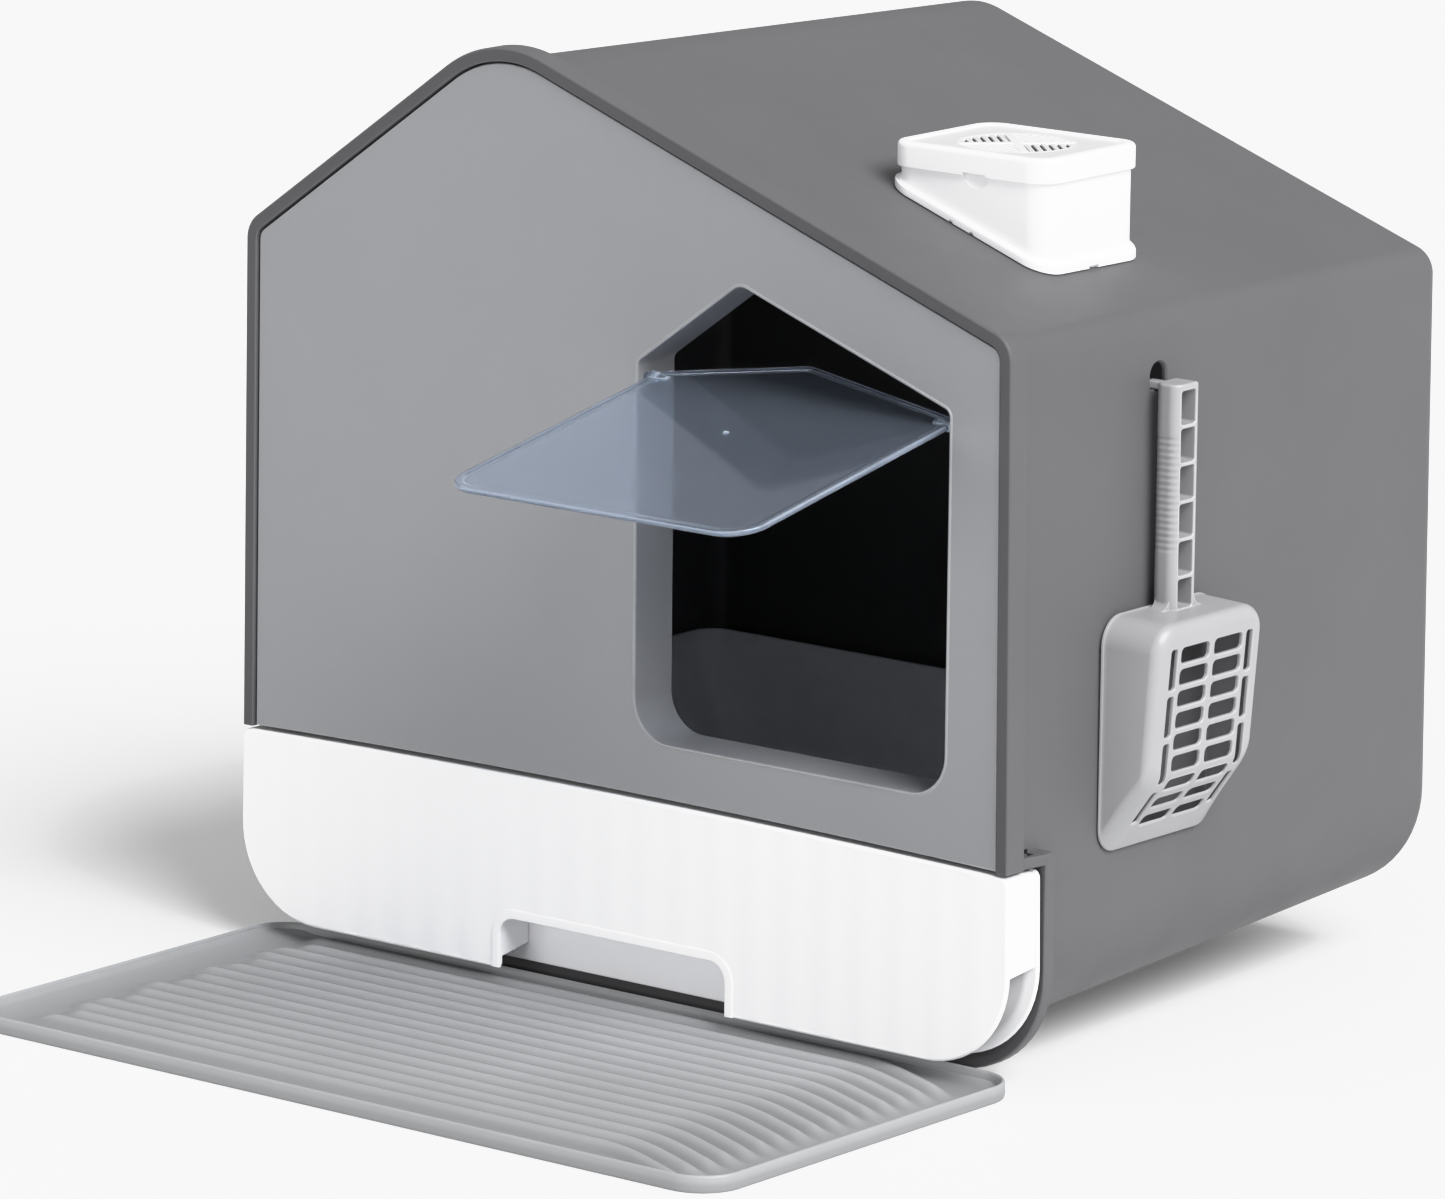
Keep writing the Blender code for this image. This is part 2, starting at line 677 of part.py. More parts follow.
def drawer_front():
    corners = drawer_outline(DRAWER_BOTTOM, DRAWER_CORNER, DRAWER_TOP)
    notch = [
        (-NOTCH_HALF, DRAWER_BOTTOM, 0.003),
        (-NOTCH_HALF, NOTCH_TOP, NOTCH_RADIUS),
        (NOTCH_HALF, NOTCH_TOP, NOTCH_RADIUS),
        (NOTCH_HALF, DRAWER_BOTTOM, 0.003),
    ]
    outline = rounded(corners[:1] + notch + corners[1:], 5)
    front = upright("front_plate", [outline], (0, FRONT_WALL))
    skirt_y = (FRONT_WALL / 2, TUB_FRONT_Y - GAP)
    skirt_loops = [rounded(inset(corners, HAIR), 5), rounded(inset(corners, FRONT_WALL), 5)]
    skirt = upright("front_skirt", skirt_loops, skirt_y)
    side_opening = block("side_opening", (-0.3, 0.3), (-0.01, 0.05), (0, SIDE_RETURN_BOTTOM))
    cut(skirt, side_opening)
    join(front, skirt)
    low = DRAWER_BOTTOM + 0.004
    inner = NOTCH_HALF + HAIR
    outer = NOTCH_HALF + CHEEK_WALL
    roof = NOTCH_TOP + CHEEK_WALL
    outer_radius = NOTCH_RADIUS + CHEEK_WALL
    cheeks = [
        (-outer, low, 0),
        (-inner, low, 0),
        (-inner, NOTCH_TOP + HAIR, NOTCH_RADIUS),
        (inner, NOTCH_TOP + HAIR, NOTCH_RADIUS),
        (inner, low, 0),
        (outer, low, 0),
        (outer, roof, outer_radius),
        (-outer, roof, outer_radius),
    ]
    join(front, upright("notch_cheeks", [rounded(cheeks, 5)], skirt_y))
    return as_part(front, "drawer_front", "drawer_white")


def tub_section(y, spread):
    """Open U of the litter tub, left top to right top, at one depth."""
    half = TUB_HALF[0] + (TUB_HALF[1] - TUB_HALF[0]) * spread
    bottom = TUB_BOTTOM[0] + (TUB_BOTTOM[1] - TUB_BOTTOM[0]) * spread
    corners = [(-half, TUB_TOP, 0), (-half, bottom, BASE_RADIUS - 0.004),
               (half, bottom, BASE_RADIUS - 0.004), (half, TUB_TOP, 0)]
    return [Vector((u, y, v)) for u, v in rounded(corners, 5)]


def drawer_tub():
    front_y = TUB_FRONT_Y + 0.002
    tub = loft("tub_skin", [tub_section(front_y, 0), tub_section(TUB_BACK_Y, 1)], closed=False)
    fillet(tub, 0.012, 2, 60)
    thicken(tub, TUB_WALL)
    corners = drawer_outline(DRAWER_BOTTOM + 0.001, DRAWER_CORNER + 0.002, DRAWER_TOP - 0.002)
    plate_y = (TUB_FRONT_Y, MOUTH_Y - WALL * 0.3 - GAP)
    join(tub, upright("tub_front", [rounded(corners, 5)], plate_y))
    return as_part(tub, "drawer_tub", "drawer_white")


# ---- deodoriser box -------------------------------------------------------------------------
def vent_outline(grow=0.0):
    x_range = (VENT_X[0] - grow, VENT_X[1] + grow)
    y_range = (VENT_Y[0] - grow, VENT_Y[1] + grow)
    return rounded(box_outline(x_range, y_range, VENT_RADIUS + grow))


def vent_housing():
    low = roof_height(VENT_X[1], VENT_Y[1]) - 0.01
    housing = level("vent_tube", [vent_outline(), vent_outline(-VENT_WALL)], (low, VENT_TOP))
    flange_low = roof_height(VENT_X[1] + 0.01, VENT_Y[1]) - 0.01
    flange_top = roof_height(VENT_X[0] - 0.01, VENT_Y[0]) + 0.02
    flange_loops = [vent_outline(FLANGE_OUT), vent_outline(-VENT_WALL / 2)]
    flange = level("vent_flange", flange_loops, (flange_low, flange_top))
    cut(flange, roof_cutter("above_flange", FLANGE_HEIGHT, 1))
    join(housing, flange)
    shelf_x = (PACK_X[0] - 0.0005, VENT_X[1] - VENT_RADIUS)
    shelf_z = (PACK_Z[0] - SHELF_THICKNESS, PACK_Z[0])
    for side, y in ((1, VENT_Y[0]), (-1, VENT_Y[1])):
        y_range = sorted((y + side * VENT_WALL / 2, y + side * (VENT_WALL + SHELF_DEPTH)))
        join(housing, block(f"shelf_{side}", shelf_x, y_range, shelf_z))
    cut(housing, roof_cutter("roof_below", GAP * 1.5, -1))
    return as_part(housing, "vent_housing", "vent_white")


def vent_lid():
    skirt_z = (LID_TOP - LID_SKIRT, LID_TOP)
    lid = level("lid_block", [vent_outline(LID_OVERHANG)], skirt_z)
    cavity_z = (skirt_z[0] - 0.001, LID_TOP - LID_PLATE)
    cavity = level("lid_cavity", [vent_outline(LID_OVERHANG - LID_WALL)], cavity_z)
    cut(lid, cavity, lid_slots())
    return as_part(lid, "vent_lid", "vent_white")


def lid_slots():
    """Slots in the four quarters between the arms of a diagonal cross, inside a circle."""
    centre = Vector((sum(VENT_X) / 2, sum(VENT_Y) / 2, LID_TOP))
    arm_half = 0.0035
    first_row = 0.0095
    slot_y = (-LID_SLOT_HALF, LID_SLOT_HALF)
    slots = []
    for quarter in range(4):
        turn = Matrix.Rotation(quarter * math.pi / 2, 3, "Z")
        for row in range(3):
            out = first_row + row * LID_SLOT_PITCH
            half = min(out - arm_half, math.sqrt(LID_SLOT_REACH ** 2 - out ** 2))
            slot = block("slot", (-half, half), slot_y, (-0.004, 0.002))
            slot.rotation_euler.z = quarter * math.pi / 2
            slot.location = centre + turn @ Vector((0, out, -0.001))
            slots.append(slot)
    return several("lid_slots", slots)


def deodoriser_pack():
    pack_y = (VENT_Y[0] + PACK_PLAY, VENT_Y[1] - PACK_PLAY)
    outline = rounded(box_outline(PACK_X, pack_y, 0.006))
    pack = level("pack", [outline], (PACK_Z[0] + GAP, PACK_Z[1]))
    return as_part(pack, "deodoriser_pack", "charcoal")


# ---- scoop ----------------------------------------------------------------------------------
def scoop_body(name, wall, open_x):
    """The pan as a solid inset by the wall, its side profile a flat slotted face above a slope
    to the lip. Its open side is at open_x."""
    profile = [
        (open_x, SCOOP_Z[0] + wall * 2.0),
        (SCOOP_X[0] + 0.002 - wall * 0.2, SCOOP_Z[0] + wall * 1.3),
        (SCOOP_X[1] - wall, SCOOP_BEND_Z),
        (SCOOP_X[1] - wall, SCOOP_Z[1] - wall),
        (open_x, SCOOP_Z[1] - wall),
    ]
    half = SCOOP_HALF - wall
    outline = [Vector(point) for point in profile]
    return upright(name, [outline], (SCOOP_Y - half, SCOOP_Y + half))


def slot_block(name, y, z, half_size):
    """A cutter through the slotted face, centred at y and z."""
    half_y, half_z = half_size
    return block(name, (0.270, 0.300), (y - half_y, y + half_y), (z - half_z, z + half_z))


def scoop_slot_cutters():
    """Two columns of slots through the face and the slope, and long slots at both sides."""
    pieces = []
    columns = (SCOOP_Y - SCOOP_COLUMN, SCOOP_Y + SCOOP_COLUMN)
    top = SCOOP_Z[1] - 0.020
    for row in range(6):
        for y in columns:
            pieces.append(slot_block("slot", y, top - row * SCOOP_SLOT_PITCH, SCOOP_SLOT))
    side_top = SCOOP_Z[1] - 0.027
    for row in range(3):
        for y in (SCOOP_Y - SIDE_SLOT_Y, SCOOP_Y + SIDE_SLOT_Y):
            pieces.append(slot_block("side_slot", y, side_top - row * SIDE_SLOT_PITCH, SIDE_SLOT))
    low = Vector((SCOOP_X[0] + 0.002, SCOOP_Z[0]))
    high = Vector((SCOOP_X[1], SCOOP_BEND_Z))
    lean = math.atan2(high.x - low.x, high.y - low.y)
    half_y, half_z = SCOOP_SLOT
    for row in range(3):
        spot = high + (low - high) * (0.13 + 0.27 * row)
        for y in columns:
            y_range = (y - half_y, y + half_y)
            piece = block("slope_slot", (-0.012, 0.012), y_range, (-0.9 * half_z, 0.9 * half_z))
            piece.location.x = spot.x
            piece.location.z = spot.y
            piece.rotation_euler.y = lean
            pieces.append(piece)
    return several("scoop_slots", pieces)


def handle_windows():
    """Cutters for the ladder of windows in the handle's outer face."""
    x_range = (HANDLE_X[0] + 0.0025, HANDLE_X[1] + 0.01)
    half_y, half_z = WINDOW_HALF
    windows = []
    for row in range(HANDLE_WINDOWS):
        z = HANDLE_TOP - 0.0125 - row * WINDOW_PITCH
        y_range = (SCOOP_Y - half_y, SCOOP_Y + half_y)
        windows.append(block("window", x_range, y_range, (z - half_z, z + half_z)))
    return several("handle_windows", windows)


def scoop():
    pan = scoop_body("pan", 0.0, SCOOP_X[0])
    cut(pan, scoop_body("pan_inside", SCOOP_WALL, SCOOP_X[0] - 0.02), scoop_slot_cutters())
    y_range = (SCOOP_Y - HANDLE_HALF, SCOOP_Y + HANDLE_HALF)
    handle = block("handle", HANDLE_X, y_range, (SCOOP_Z[1] - 0.0015, HANDLE_TOP))
    cut(handle, handle_windows())
    join(pan, handle)
    arm_low = SLOT_Z[0] + GAP
    arm_y = (SCOOP_Y - HOOK_HALF, SCOOP_Y + HOOK_HALF)
    arm = block("hook_arm", HOOK_X, arm_y, (arm_low, arm_low + HOOK_HEIGHT))
    lip_length, lip_drop = HOOK_LIP
    lip_x = (HOOK_X[0] - 0.0002, HOOK_X[0] - 0.0002 + lip_length)
    lip_y = (arm_y[0] + 0.0002, arm_y[1] - 0.0002)
    lip = block("hook_lip", lip_x, lip_y, (arm_low - lip_drop, arm_low + HOOK_HEIGHT - 0.0005))
    join(pan, arm, lip)
    return as_part(pan, "scoop", "scoop_grey")


# ---- entry mat ------------------------------------------------------------------------------
def entry_mat():
    corners = box_outline(MAT_X, MAT_Y, MAT_CORNER)
    mat = level("mat_base", [rounded(corners, 5)], (0, MAT_BASE))
    rim_loops = [rounded(inset(corners, HAIR), 5), rounded(inset(corners, MAT_RIM_WIDTH), 5)]
    join(mat, level("mat_rim", rim_loops, (0.0004, MAT_RIM)))
    left, right, front, back = MAT_BORDER
    first = MAT_Y[0] + front
    pitch = (MAT_Y[1] - back - first) / (MAT_RIBS - 1)
    rib_x = (MAT_X[0] + left, MAT_X[1] - right)
    ribs = []
    for row in range(MAT_RIBS):
        y = first + row * pitch
        y_range = (y - MAT_RIB_HALF, y + MAT_RIB_HALF)
        ribs.append(block("rib", rib_x, y_range, (MAT_BASE - 0.0005, MAT_RIB_TOP)))
    join(mat, several("mat_ribs", ribs))
    return as_part(mat, "entry_mat", "mat_grey")


house_shell()
foot_pads()
front_panel()
door_flap()
drawer_front()
drawer_tub()
vent_housing()
vent_lid()
deodoriser_pack()
scoop()
entry_mat()
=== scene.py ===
"""Looks of a hooded cat litter box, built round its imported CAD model.

Shapes are drawn in the house frame, as in the CAD: X runs along the front, y = 0 is the front
face of the rim, and the floor is z = 0. Every finished mesh is then moved by HOUSE.
"""
from math import atan2, cos, pi, radians, sin, tan, tanh

import bmesh
import bpy
from mathutils import Matrix, Vector


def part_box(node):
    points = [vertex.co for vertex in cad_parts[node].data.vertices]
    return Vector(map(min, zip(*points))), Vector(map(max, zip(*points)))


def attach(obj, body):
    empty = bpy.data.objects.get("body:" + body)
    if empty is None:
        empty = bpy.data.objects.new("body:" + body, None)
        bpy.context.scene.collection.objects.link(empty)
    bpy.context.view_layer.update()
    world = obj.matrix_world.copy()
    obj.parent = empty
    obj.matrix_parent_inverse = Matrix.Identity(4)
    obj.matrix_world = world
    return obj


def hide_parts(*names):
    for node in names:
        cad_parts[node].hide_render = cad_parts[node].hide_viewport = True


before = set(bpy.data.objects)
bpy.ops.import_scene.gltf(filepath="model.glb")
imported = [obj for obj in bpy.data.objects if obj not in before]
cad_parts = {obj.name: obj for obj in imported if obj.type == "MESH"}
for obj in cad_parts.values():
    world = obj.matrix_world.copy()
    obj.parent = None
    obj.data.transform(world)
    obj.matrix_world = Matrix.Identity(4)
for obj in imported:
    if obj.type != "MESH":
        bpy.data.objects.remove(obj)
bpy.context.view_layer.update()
SHELL_LOW, SHELL_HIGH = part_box("house_shell")
HOUSE = Vector(((SHELL_LOW.x + SHELL_HIGH.x) / 2, SHELL_LOW.y, 0))

# ---- dimensions, in metres, in the house frame ----
GAP = 0.0003
HAIR = 0.00004                # how far from y = 0 a vertex may lie and still count as on the fascia's front face
WELD = 0.000002
DEPTH = 0.398
FRONT_SPLIT = 0.12
SEAM_CROWN = 0.0035

RIM_HALF_LOW = 0.2605
RIM_HALF_HIGH = 0.2575
RIM_SHOULDERS = (0.397, 0.3955)
RIM_APEX = (-0.0862, 0.5189)
RIM_APEX_RADIUS = 0.072
RIM_DEPTH = 0.0145
RIM_BOTTOM = 0.06
RIM_STEP = 0.0074
RIM_EDGE = 0.0016
SHOULDER_RADIUS = 0.016

WALL = 0.0028
WALL_FRONT_Y = 0.008
BACK_FILLET = 0.012
BASE_RADIUS = 0.06
WALL_APEX_RADIUS = (0.066, 0.038)
WALL_HALF_LOW = (0.2545, 0.25)
WALL_HALF_HIGH = (0.2515, 0.247)
WALL_BOTTOM = (0.0162, 0.0343)
WALL_APEX = ((-0.084, 0.5114), (-0.066, 0.4995))
WALL_SHOULDER_L = (0.3928, 0.3713)
WALL_SHOULDER_R = (0.3915, 0.3884)

MOUTH_Y = 0.03
COLLAR_DEPTH = 0.0072
COLLAR_HALF = 0.2635
COLLAR_BOTTOM = 0.004
COLLAR_RADIUS = 0.057
BRACKET_HEIGHT = 0.0065
RAIL_Y = (0.0105, 0.028)
RAIL_Z = (0.1225, 0.1255)
FOOT_TOP = 0.0037
FEET = ((0.15, 0.0435, -0.01, 0.012, 0.0195), (0.105, 0.35, -0.014, 0.014, 0.0338))
BOSS_HALF = 0.016

PANEL_Y = (0.0015, 0.0041)
PANEL_INSET = 0.0086
DOOR_LEFT = 0.014
DOOR_RIGHT = 0.218
DOOR_BOTTOM = 0.1536
DOOR_SHOULDER = 0.3547
DOOR_APEX = (0.081, 0.4032)
DOOR_RADII = (0.022, 0.022, 0.005, 0.009)
DOOR_TUNNEL = 0.0315
DOOR_SLEEVE = 0.0022
CLIP_HEIGHTS = (0.17, 0.33)
HINGE_Y = 0.0085
HINGE_Z = 0.346
SOCKET_RADIUS = 0.006

FLAP_OPEN = radians(79.2)
FLAP_SIDE_GAP = 0.0035
FLAP_DROP = 0.172
FLAP_SHOULDER = 0.006
FLAP_APEX = (0.0915, 0.043)
FLAP_RADII = (0.018, 0.02, 0.003, 0.008)
AXLE_RADIUS = 0.0025

DRAWER_TOP = 0.118
DRAWER_BOTTOM = 0.014
DRAWER_HALF = 0.2623
DRAWER_CORNER = 0.052
FRONT_WALL = 0.002
SKIRT_BACK = 0.0245
SIDE_RETURN_BOTTOM = (0.0655, 0.069)
FASCIA_EDGE = 0.0019
NOTCH_HALF = 0.077
NOTCH_TOP = 0.0425
NOTCH_RADIUS = 0.01
FLUTE_PITCH = 0.02415
FLUTE_DEPTH = 0.0003
TUB_WALL = 0.0025
TUB_FRONT_Y = 0.0248
TUB_BACK_Y = 0.385
TUB_TOP = 0.114
TUB_FILLET = 0.014
TUB_HALF = (0.2485, 0.244)
TUB_BOTTOM = (0.0218, 0.0385)

VENT_X = (0.1003, 0.199)
VENT_Y = (0.1038, 0.1868)
VENT_CENTRE = (sum(VENT_X) / 2, sum(VENT_Y) / 2)
THUMB_X = VENT_CENTRE[0] + 0.0055
VENT_TOP = 0.4648
VENT_WALL = 0.0022
VENT_RADIUS = 0.012
FLANGE_OUT = 0.0035
ROOF_HOLE_INSET = 0.012
LID_TOP = 0.4688
LID_SKIRT = 0.0132
LID_OVERHANG = 0.0023
LID_WALL = 0.0018
LID_PLATE = 0.0024
LID_BORDER = 0.0052
GRILLE_RADIUS = 0.0305

SCOOP_Y = 0.136
SCOOP_X = (0.2535, 0.29)
SCOOP_DEPTH = SCOOP_X[1] - SCOOP_X[0]
SCOOP_Z = (0.113, 0.24)
SCOOP_HALF = 0.0495
SCOOP_WALL = 0.0022
SCOOP_BEND_Z = 0.152
SCOOP_TAPER = 0.085
HANDLE_X = (0.2547, 0.27)
HANDLE_HALF = 0.0091
HANDLE_TOP = 0.3568
SLOT_Y = (0.1298, 0.1434)
SLOT_Z = (0.3515, 0.3655)

MAT_X = (-0.2525, 0.2575)
MAT_Y = (-0.2355, 0.0215)
MAT_RIM = 0.009
MAT_FLOOR = 0.0032
MAT_RIM_WIDTH = 0.0034
MAT_CORNER = 0.024
MAT_RIBS = 16
MAT_RIB_HEIGHT = 0.0038

# ---- camera and light, with angles in degrees ----
CAMERA_SPOT = (2.8856, -3.5124, 1.2083)
CAMERA_ANGLES = (38.685, 12.18, 0.603)
CAMERA_LENS = 221.2
WHITE_LEVEL = 2.4
TONE_POINTS = ((0.1, 0.24), (0.2, 0.48), (0.3, 0.715), (0.35, 0.82), (0.5, 0.92), (0.667, 0.965))
STUDIO_STRENGTH = 0.5
KEY_TOWARDS = (0.7, -0.143, 0.7)
KEY_POWER = 5.2
KEY_SPREAD = 38
FILL_SPOT = (-0.6, -4.0, 0.7)
FILL_TARGET = (0, 0, 0.15)
FILL_SIZE = (3.0, 1.2)
FILL_POWER = 49
FLOOR_GLOW = 0.09


# ---- outlines ----
def rounded(corners, steps=10):
    """Outline points of a polygon (u, v, radius). A corner with a radius gives steps + 1 points."""
    points = []
    count = len(corners)
    for i, (u, v, radius) in enumerate(corners):
        here = Vector((u, v))
        if radius == 0:
            points.append(here)
            continue
        before = (Vector(corners[i - 1][:2]) - here).normalized()
        after = (Vector(corners[(i + 1) % count][:2]) - here).normalized()
        half = before.angle(after) / 2
        centre = here + (before + after).normalized() * (radius / sin(half))
        start = here + before * (radius / tan(half)) - centre
        sweep = start.angle_signed(here + after * (radius / tan(half)) - centre)
        for step in range(steps + 1):
            points.append(centre + Matrix.Rotation(-sweep * step / steps, 2) @ start)
    return points


def inset(corners, distance):
    """The same counter-clockwise polygon with every edge moved inwards and its arcs concentric."""
    smallest = 0.00002
    count = len(corners)
    moved = []
    for i, (u, v, radius) in enumerate(corners):
        here = Vector((u, v))
        edge_in = (here - Vector(corners[i - 1][:2])).normalized()
        edge_out = (Vector(corners[(i + 1) % count][:2]) - here).normalized()
        normal_in = Vector((-edge_in.y, edge_in.x))
        normal_out = Vector((-edge_out.y, edge_out.x))
        shift = (normal_in + normal_out) * (distance / (1 + normal_in.dot(normal_out)))
        bend = 1 if edge_in.x * edge_out.y - edge_in.y * edge_out.x > 0 else -1
        kept = max(radius - bend * distance, smallest) if radius else 0
        moved.append((u + shift.x, v + shift.y, kept))
    return moved


def gable(halves, bottom, shoulders, apex, radii):
    """Corners of a house shape about u = 0, from its lower left; halves are (low, high) and
    shoulders (right, left)."""
    low, high = halves
    base, shoulder, top = radii
    return [(-low, bottom, base), (low, bottom, base), (high, shoulders[0], shoulder),
            (*apex, top), (-high, shoulders[1], shoulder)]


def doorway(left, right, bottom, shoulder, apex, radii):
    """Corners of a house shape with upright sides, from its lower left."""
    return [(left, bottom, radii[0]), (right, bottom, radii[1]), (right, shoulder, radii[2]),
            (*apex, radii[3]), (left, shoulder, radii[2])]


def box_outline(u, v, radius=0.0, upper_radius=None):
    """Corners of a rectangle, from its lower left."""
    upper = radius if upper_radius is None else upper_radius
    return [(u[0], v[0], radius), (u[1], v[0], radius), (u[1], v[1], upper), (u[0], v[1], upper)]


def rounding(radius, steps):
    """(inset, depth) pairs round a quarter of an edge, from its face to its side."""
    turns = [pi / 2 * step / steps for step in range(steps + 1)]
    return [(radius * (1 - sin(a)), radius * (1 - cos(a))) for a in turns]


def edge_profile(low, high, radius, steps=4):
    """(inset, depth) pairs over a plate's rounded edge, from one face to the other."""
    arc = rounding(radius, steps)
    return [(d, low + t) for d, t in arc] + [(d, high - t) for d, t in arc[::-1]]


def circle(radius, count):
    turns = [2 * pi * i / count for i in range(count)]
    return [(radius * cos(a), radius * sin(a)) for a in turns]


def upright(u, v, depth):
    return Vector((u, depth, v))


def sideways(u, v, depth):
    return Vector((depth, u, v))


def level(u, v, depth):
    return Vector((u, v, depth))


def mirrored(side):
    return lambda u, v, depth: Vector((side * u, v, depth))


def pose(spot, axis="Z", angle=0.0):
    """Turns about an axis through the origin, then moves to the spot."""
    return Matrix.Translation(spot) @ Matrix.Rotation(angle, 4, axis)


# ---- meshes ----
def ring(shape, points):
    return [shape.verts.new(point) for point in points]


def traced(shape, corners, steps, place, depth):
    """A ring along a rounded outline."""
    return ring(shape, [place(u, v, depth) for u, v in rounded(corners, steps)])


def skin(shape, rings, closed=True):
    """Quads between neighbouring rings of equal length."""
    count = len(rings[0])
    for near, far in zip(rings, rings[1:]):
        for i in range(count if closed else count - 1):
            j = (i + 1) % count
            shape.faces.new((near[i], near[j], far[j], far[i]))


def fill(shape, loops):
    """The flat face inside the first loop and outside the others."""
    if len(loops) == 1:
        shape.faces.new(loops[0])
        return
    edges = []
    for loop in loops:
        edges += [shape.edges.get(ends) for ends in zip(loop, loop[1:] + loop[:1])]
    bmesh.ops.triangle_fill(shape, use_beauty=True, edges=edges)


def double_skin(shape, outer, inner, closed=True):
    """A wall between two rows of rings, joined at its first edge and flat at its far end."""
    skin(shape, outer, closed)
    skin(shape, inner, closed)
    skin(shape, [outer[0], inner[0]], closed)
    fill(shape, outer[-1:])
    fill(shape, inner[-1:])


def add_object(name, data):
    obj = bpy.data.objects.new(name, data)
    bpy.context.scene.collection.objects.link(obj)
    return obj


def helper(name, shape):
    """Turns a bmesh into an object whose faces point outwards."""
    bmesh.ops.recalc_face_normals(shape, faces=shape.faces)
    mesh = bpy.data.meshes.new(name)
    shape.to_mesh(mesh)
    shape.free()
    return add_object(name, mesh)


def plate(name, outlines, profile, place, steps=10):
    """A solid plate; profile says how its edge goes from one face to the other. The outlines
    after the first one are holes."""
    shape = bmesh.new()
    first, last = [], []
    for index, corners in enumerate(outlines):
        side = -1 if index else 1
        rings = [traced(shape, inset(corners, side * d), steps, place, t) for d, t in profile]
        skin(shape, rings)
        first.append(rings[0])
        last.append(rings[-1])
    fill(shape, first)
    fill(shape, last)
    return helper(name, shape)


def hoop(name, corners, profile, place, steps=10):
    """A bar of the closed profile (inset, depth), swept round a closed outline."""
    shape = bmesh.new()
    rings = [traced(shape, inset(corners, d), steps, place, t) for d, t in profile]
    skin(shape, rings + rings[:1])
    return helper(name, shape)


def strip(name, paths):
    """A bar swept along an open path; paths are its edges, in order round the bar."""
    shape = bmesh.new()
    rings = [ring(shape, points) for points in paths]
    skin(shape, rings + rings[:1], closed=False)
    shape.faces.new([line[0] for line in rings])
    shape.faces.new([line[-1] for line in rings])
    return helper(name, shape)


def block(name, x_range, y_range, z_range, radius=0.0006):
    """A box with rounded edges."""
    shape = bmesh.new()
    bmesh.ops.create_cube(shape, size=1)
    size = Vector((x_range[1] - x_range[0], y_range[1] - y_range[0], z_range[1] - z_range[0]))
    middle = Vector((sum(x_range) / 2, sum(y_range) / 2, sum(z_range) / 2))
    bmesh.ops.scale(shape, verts=shape.verts, vec=size)
    bmesh.ops.translate(shape, verts=shape.verts, vec=middle)
    if radius:
        bmesh.ops.bevel(shape, geom=shape.edges[:], offset=radius, segments=3, profile=0.5,
                        affect="EDGES")
    return helper(name, shape)


def stack(name, shape, rings):
    """The solid through a row of rings, flat at both ends."""
    skin(shape, rings)
    fill(shape, rings[:1])
    fill(shape, rings[-1:])
    return helper(name, shape)


def turned(name, profile, matrix, segments=32):
    """A turned solid: profile (radius, height) from one end of its axis to the other."""
    shape = bmesh.new()
    rings = []
    for radius, height in profile:
        points = [matrix @ Vector((x, y, height)) for x, y in circle(radius, segments)]
        rings.append(ring(shape, points))
    return stack(name, shape, rings)


def together(name, pieces):
    """Several helpers that don't touch, as one mesh."""
    shape = bmesh.new()
    for piece in pieces:
        shape.from_mesh(piece.data)
        bpy.data.objects.remove(piece, do_unlink=True)
    return helper(name, shape)


def add(other):
    return "UNION", other


def cut(other):
    return "DIFFERENCE", other


def shaped(base, steps):
    """Applies the steps (operation, helper) in order and cleans up the mesh."""
    for operation, other in steps:
        modifier = base.modifiers.new("step", "BOOLEAN")
        modifier.operation = operation
        modifier.object = other
        modifier.solver = "EXACT"
    graph = bpy.context.evaluated_depsgraph_get()
    mesh = bpy.data.meshes.new_from_object(base.evaluated_get(graph))
    base.modifiers.clear()
    shape = bmesh.new()
    shape.from_mesh(mesh)
    bmesh.ops.remove_doubles(shape, verts=shape.verts, dist=WELD)
    bmesh.ops.dissolve_degenerate(shape, edges=shape.edges, dist=WELD)
    shape.to_mesh(mesh)
    shape.free()
    base.data = mesh
    for _, other in steps:
        bpy.data.objects.remove(other, do_unlink=True)
    return base


def present(obj, name, body, slot, *nodes, angle=35):
    """Finishes a piece: place, material, smooth shading, and the body it rides on."""
    obj.name = name
    obj.data.name = name
    obj.data.transform(Matrix.Translation(HOUSE))
    obj.data.materials.clear()
    obj.data.materials.append(MATERIALS[slot])
    for polygon in obj.data.polygons:
        polygon.material_index = 0
    obj.data.shade_smooth()
    obj.data.set_sharp_from_angle(angle=radians(angle))
    normals = obj.modifiers.new("weighted_normals", "WEIGHTED_NORMAL")
    normals.keep_sharp = True
    normals.weight = 50
    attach(obj, body)
    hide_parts(*nodes)
    return obj


# ---- materials ----
def feed(tree, socket, value):
    """Links another node's output to a socket, or sets the socket's number or colour."""
    if isinstance(value, bpy.types.NodeSocket):
        tree.links.new(value, socket)
    else:
        socket.default_value = (*value, 1) if isinstance(value, tuple) else value


def add_node(tree, kind, **values):
    node = tree.nodes.new(kind)
    for key, value in values.items():
        if key in node.inputs:
            feed(tree, node.inputs[key], value)
        else:
            setattr(node, key, value)
    return node


def noise_node(tree, place, scale, detail=2.0, roughness=0.5):
    node = add_node(tree, "ShaderNodeTexNoise", Vector=place, Scale=scale, Detail=detail,
                    Roughness=roughness)
    return node.outputs["Fac"]


def mapped(tree, value, *limits):
    """Maps a range of the value onto another range."""
    node = add_node(tree, "ShaderNodeMapRange", Value=value)
    for name, limit in zip(("From Min", "From Max", "To Min", "To Max"), limits):
        node.inputs[name].default_value = limit
    return node.outputs["Result"]


def mixed(tree, factor, first, second):
    """Mixes two colours; each is a colour or another node's output."""
    node = add_node(tree, "ShaderNodeMix", data_type="RGBA", Factor=factor)
    feed(tree, node.inputs[6], first)
    feed(tree, node.inputs[7], second)
    return node.outputs[2]


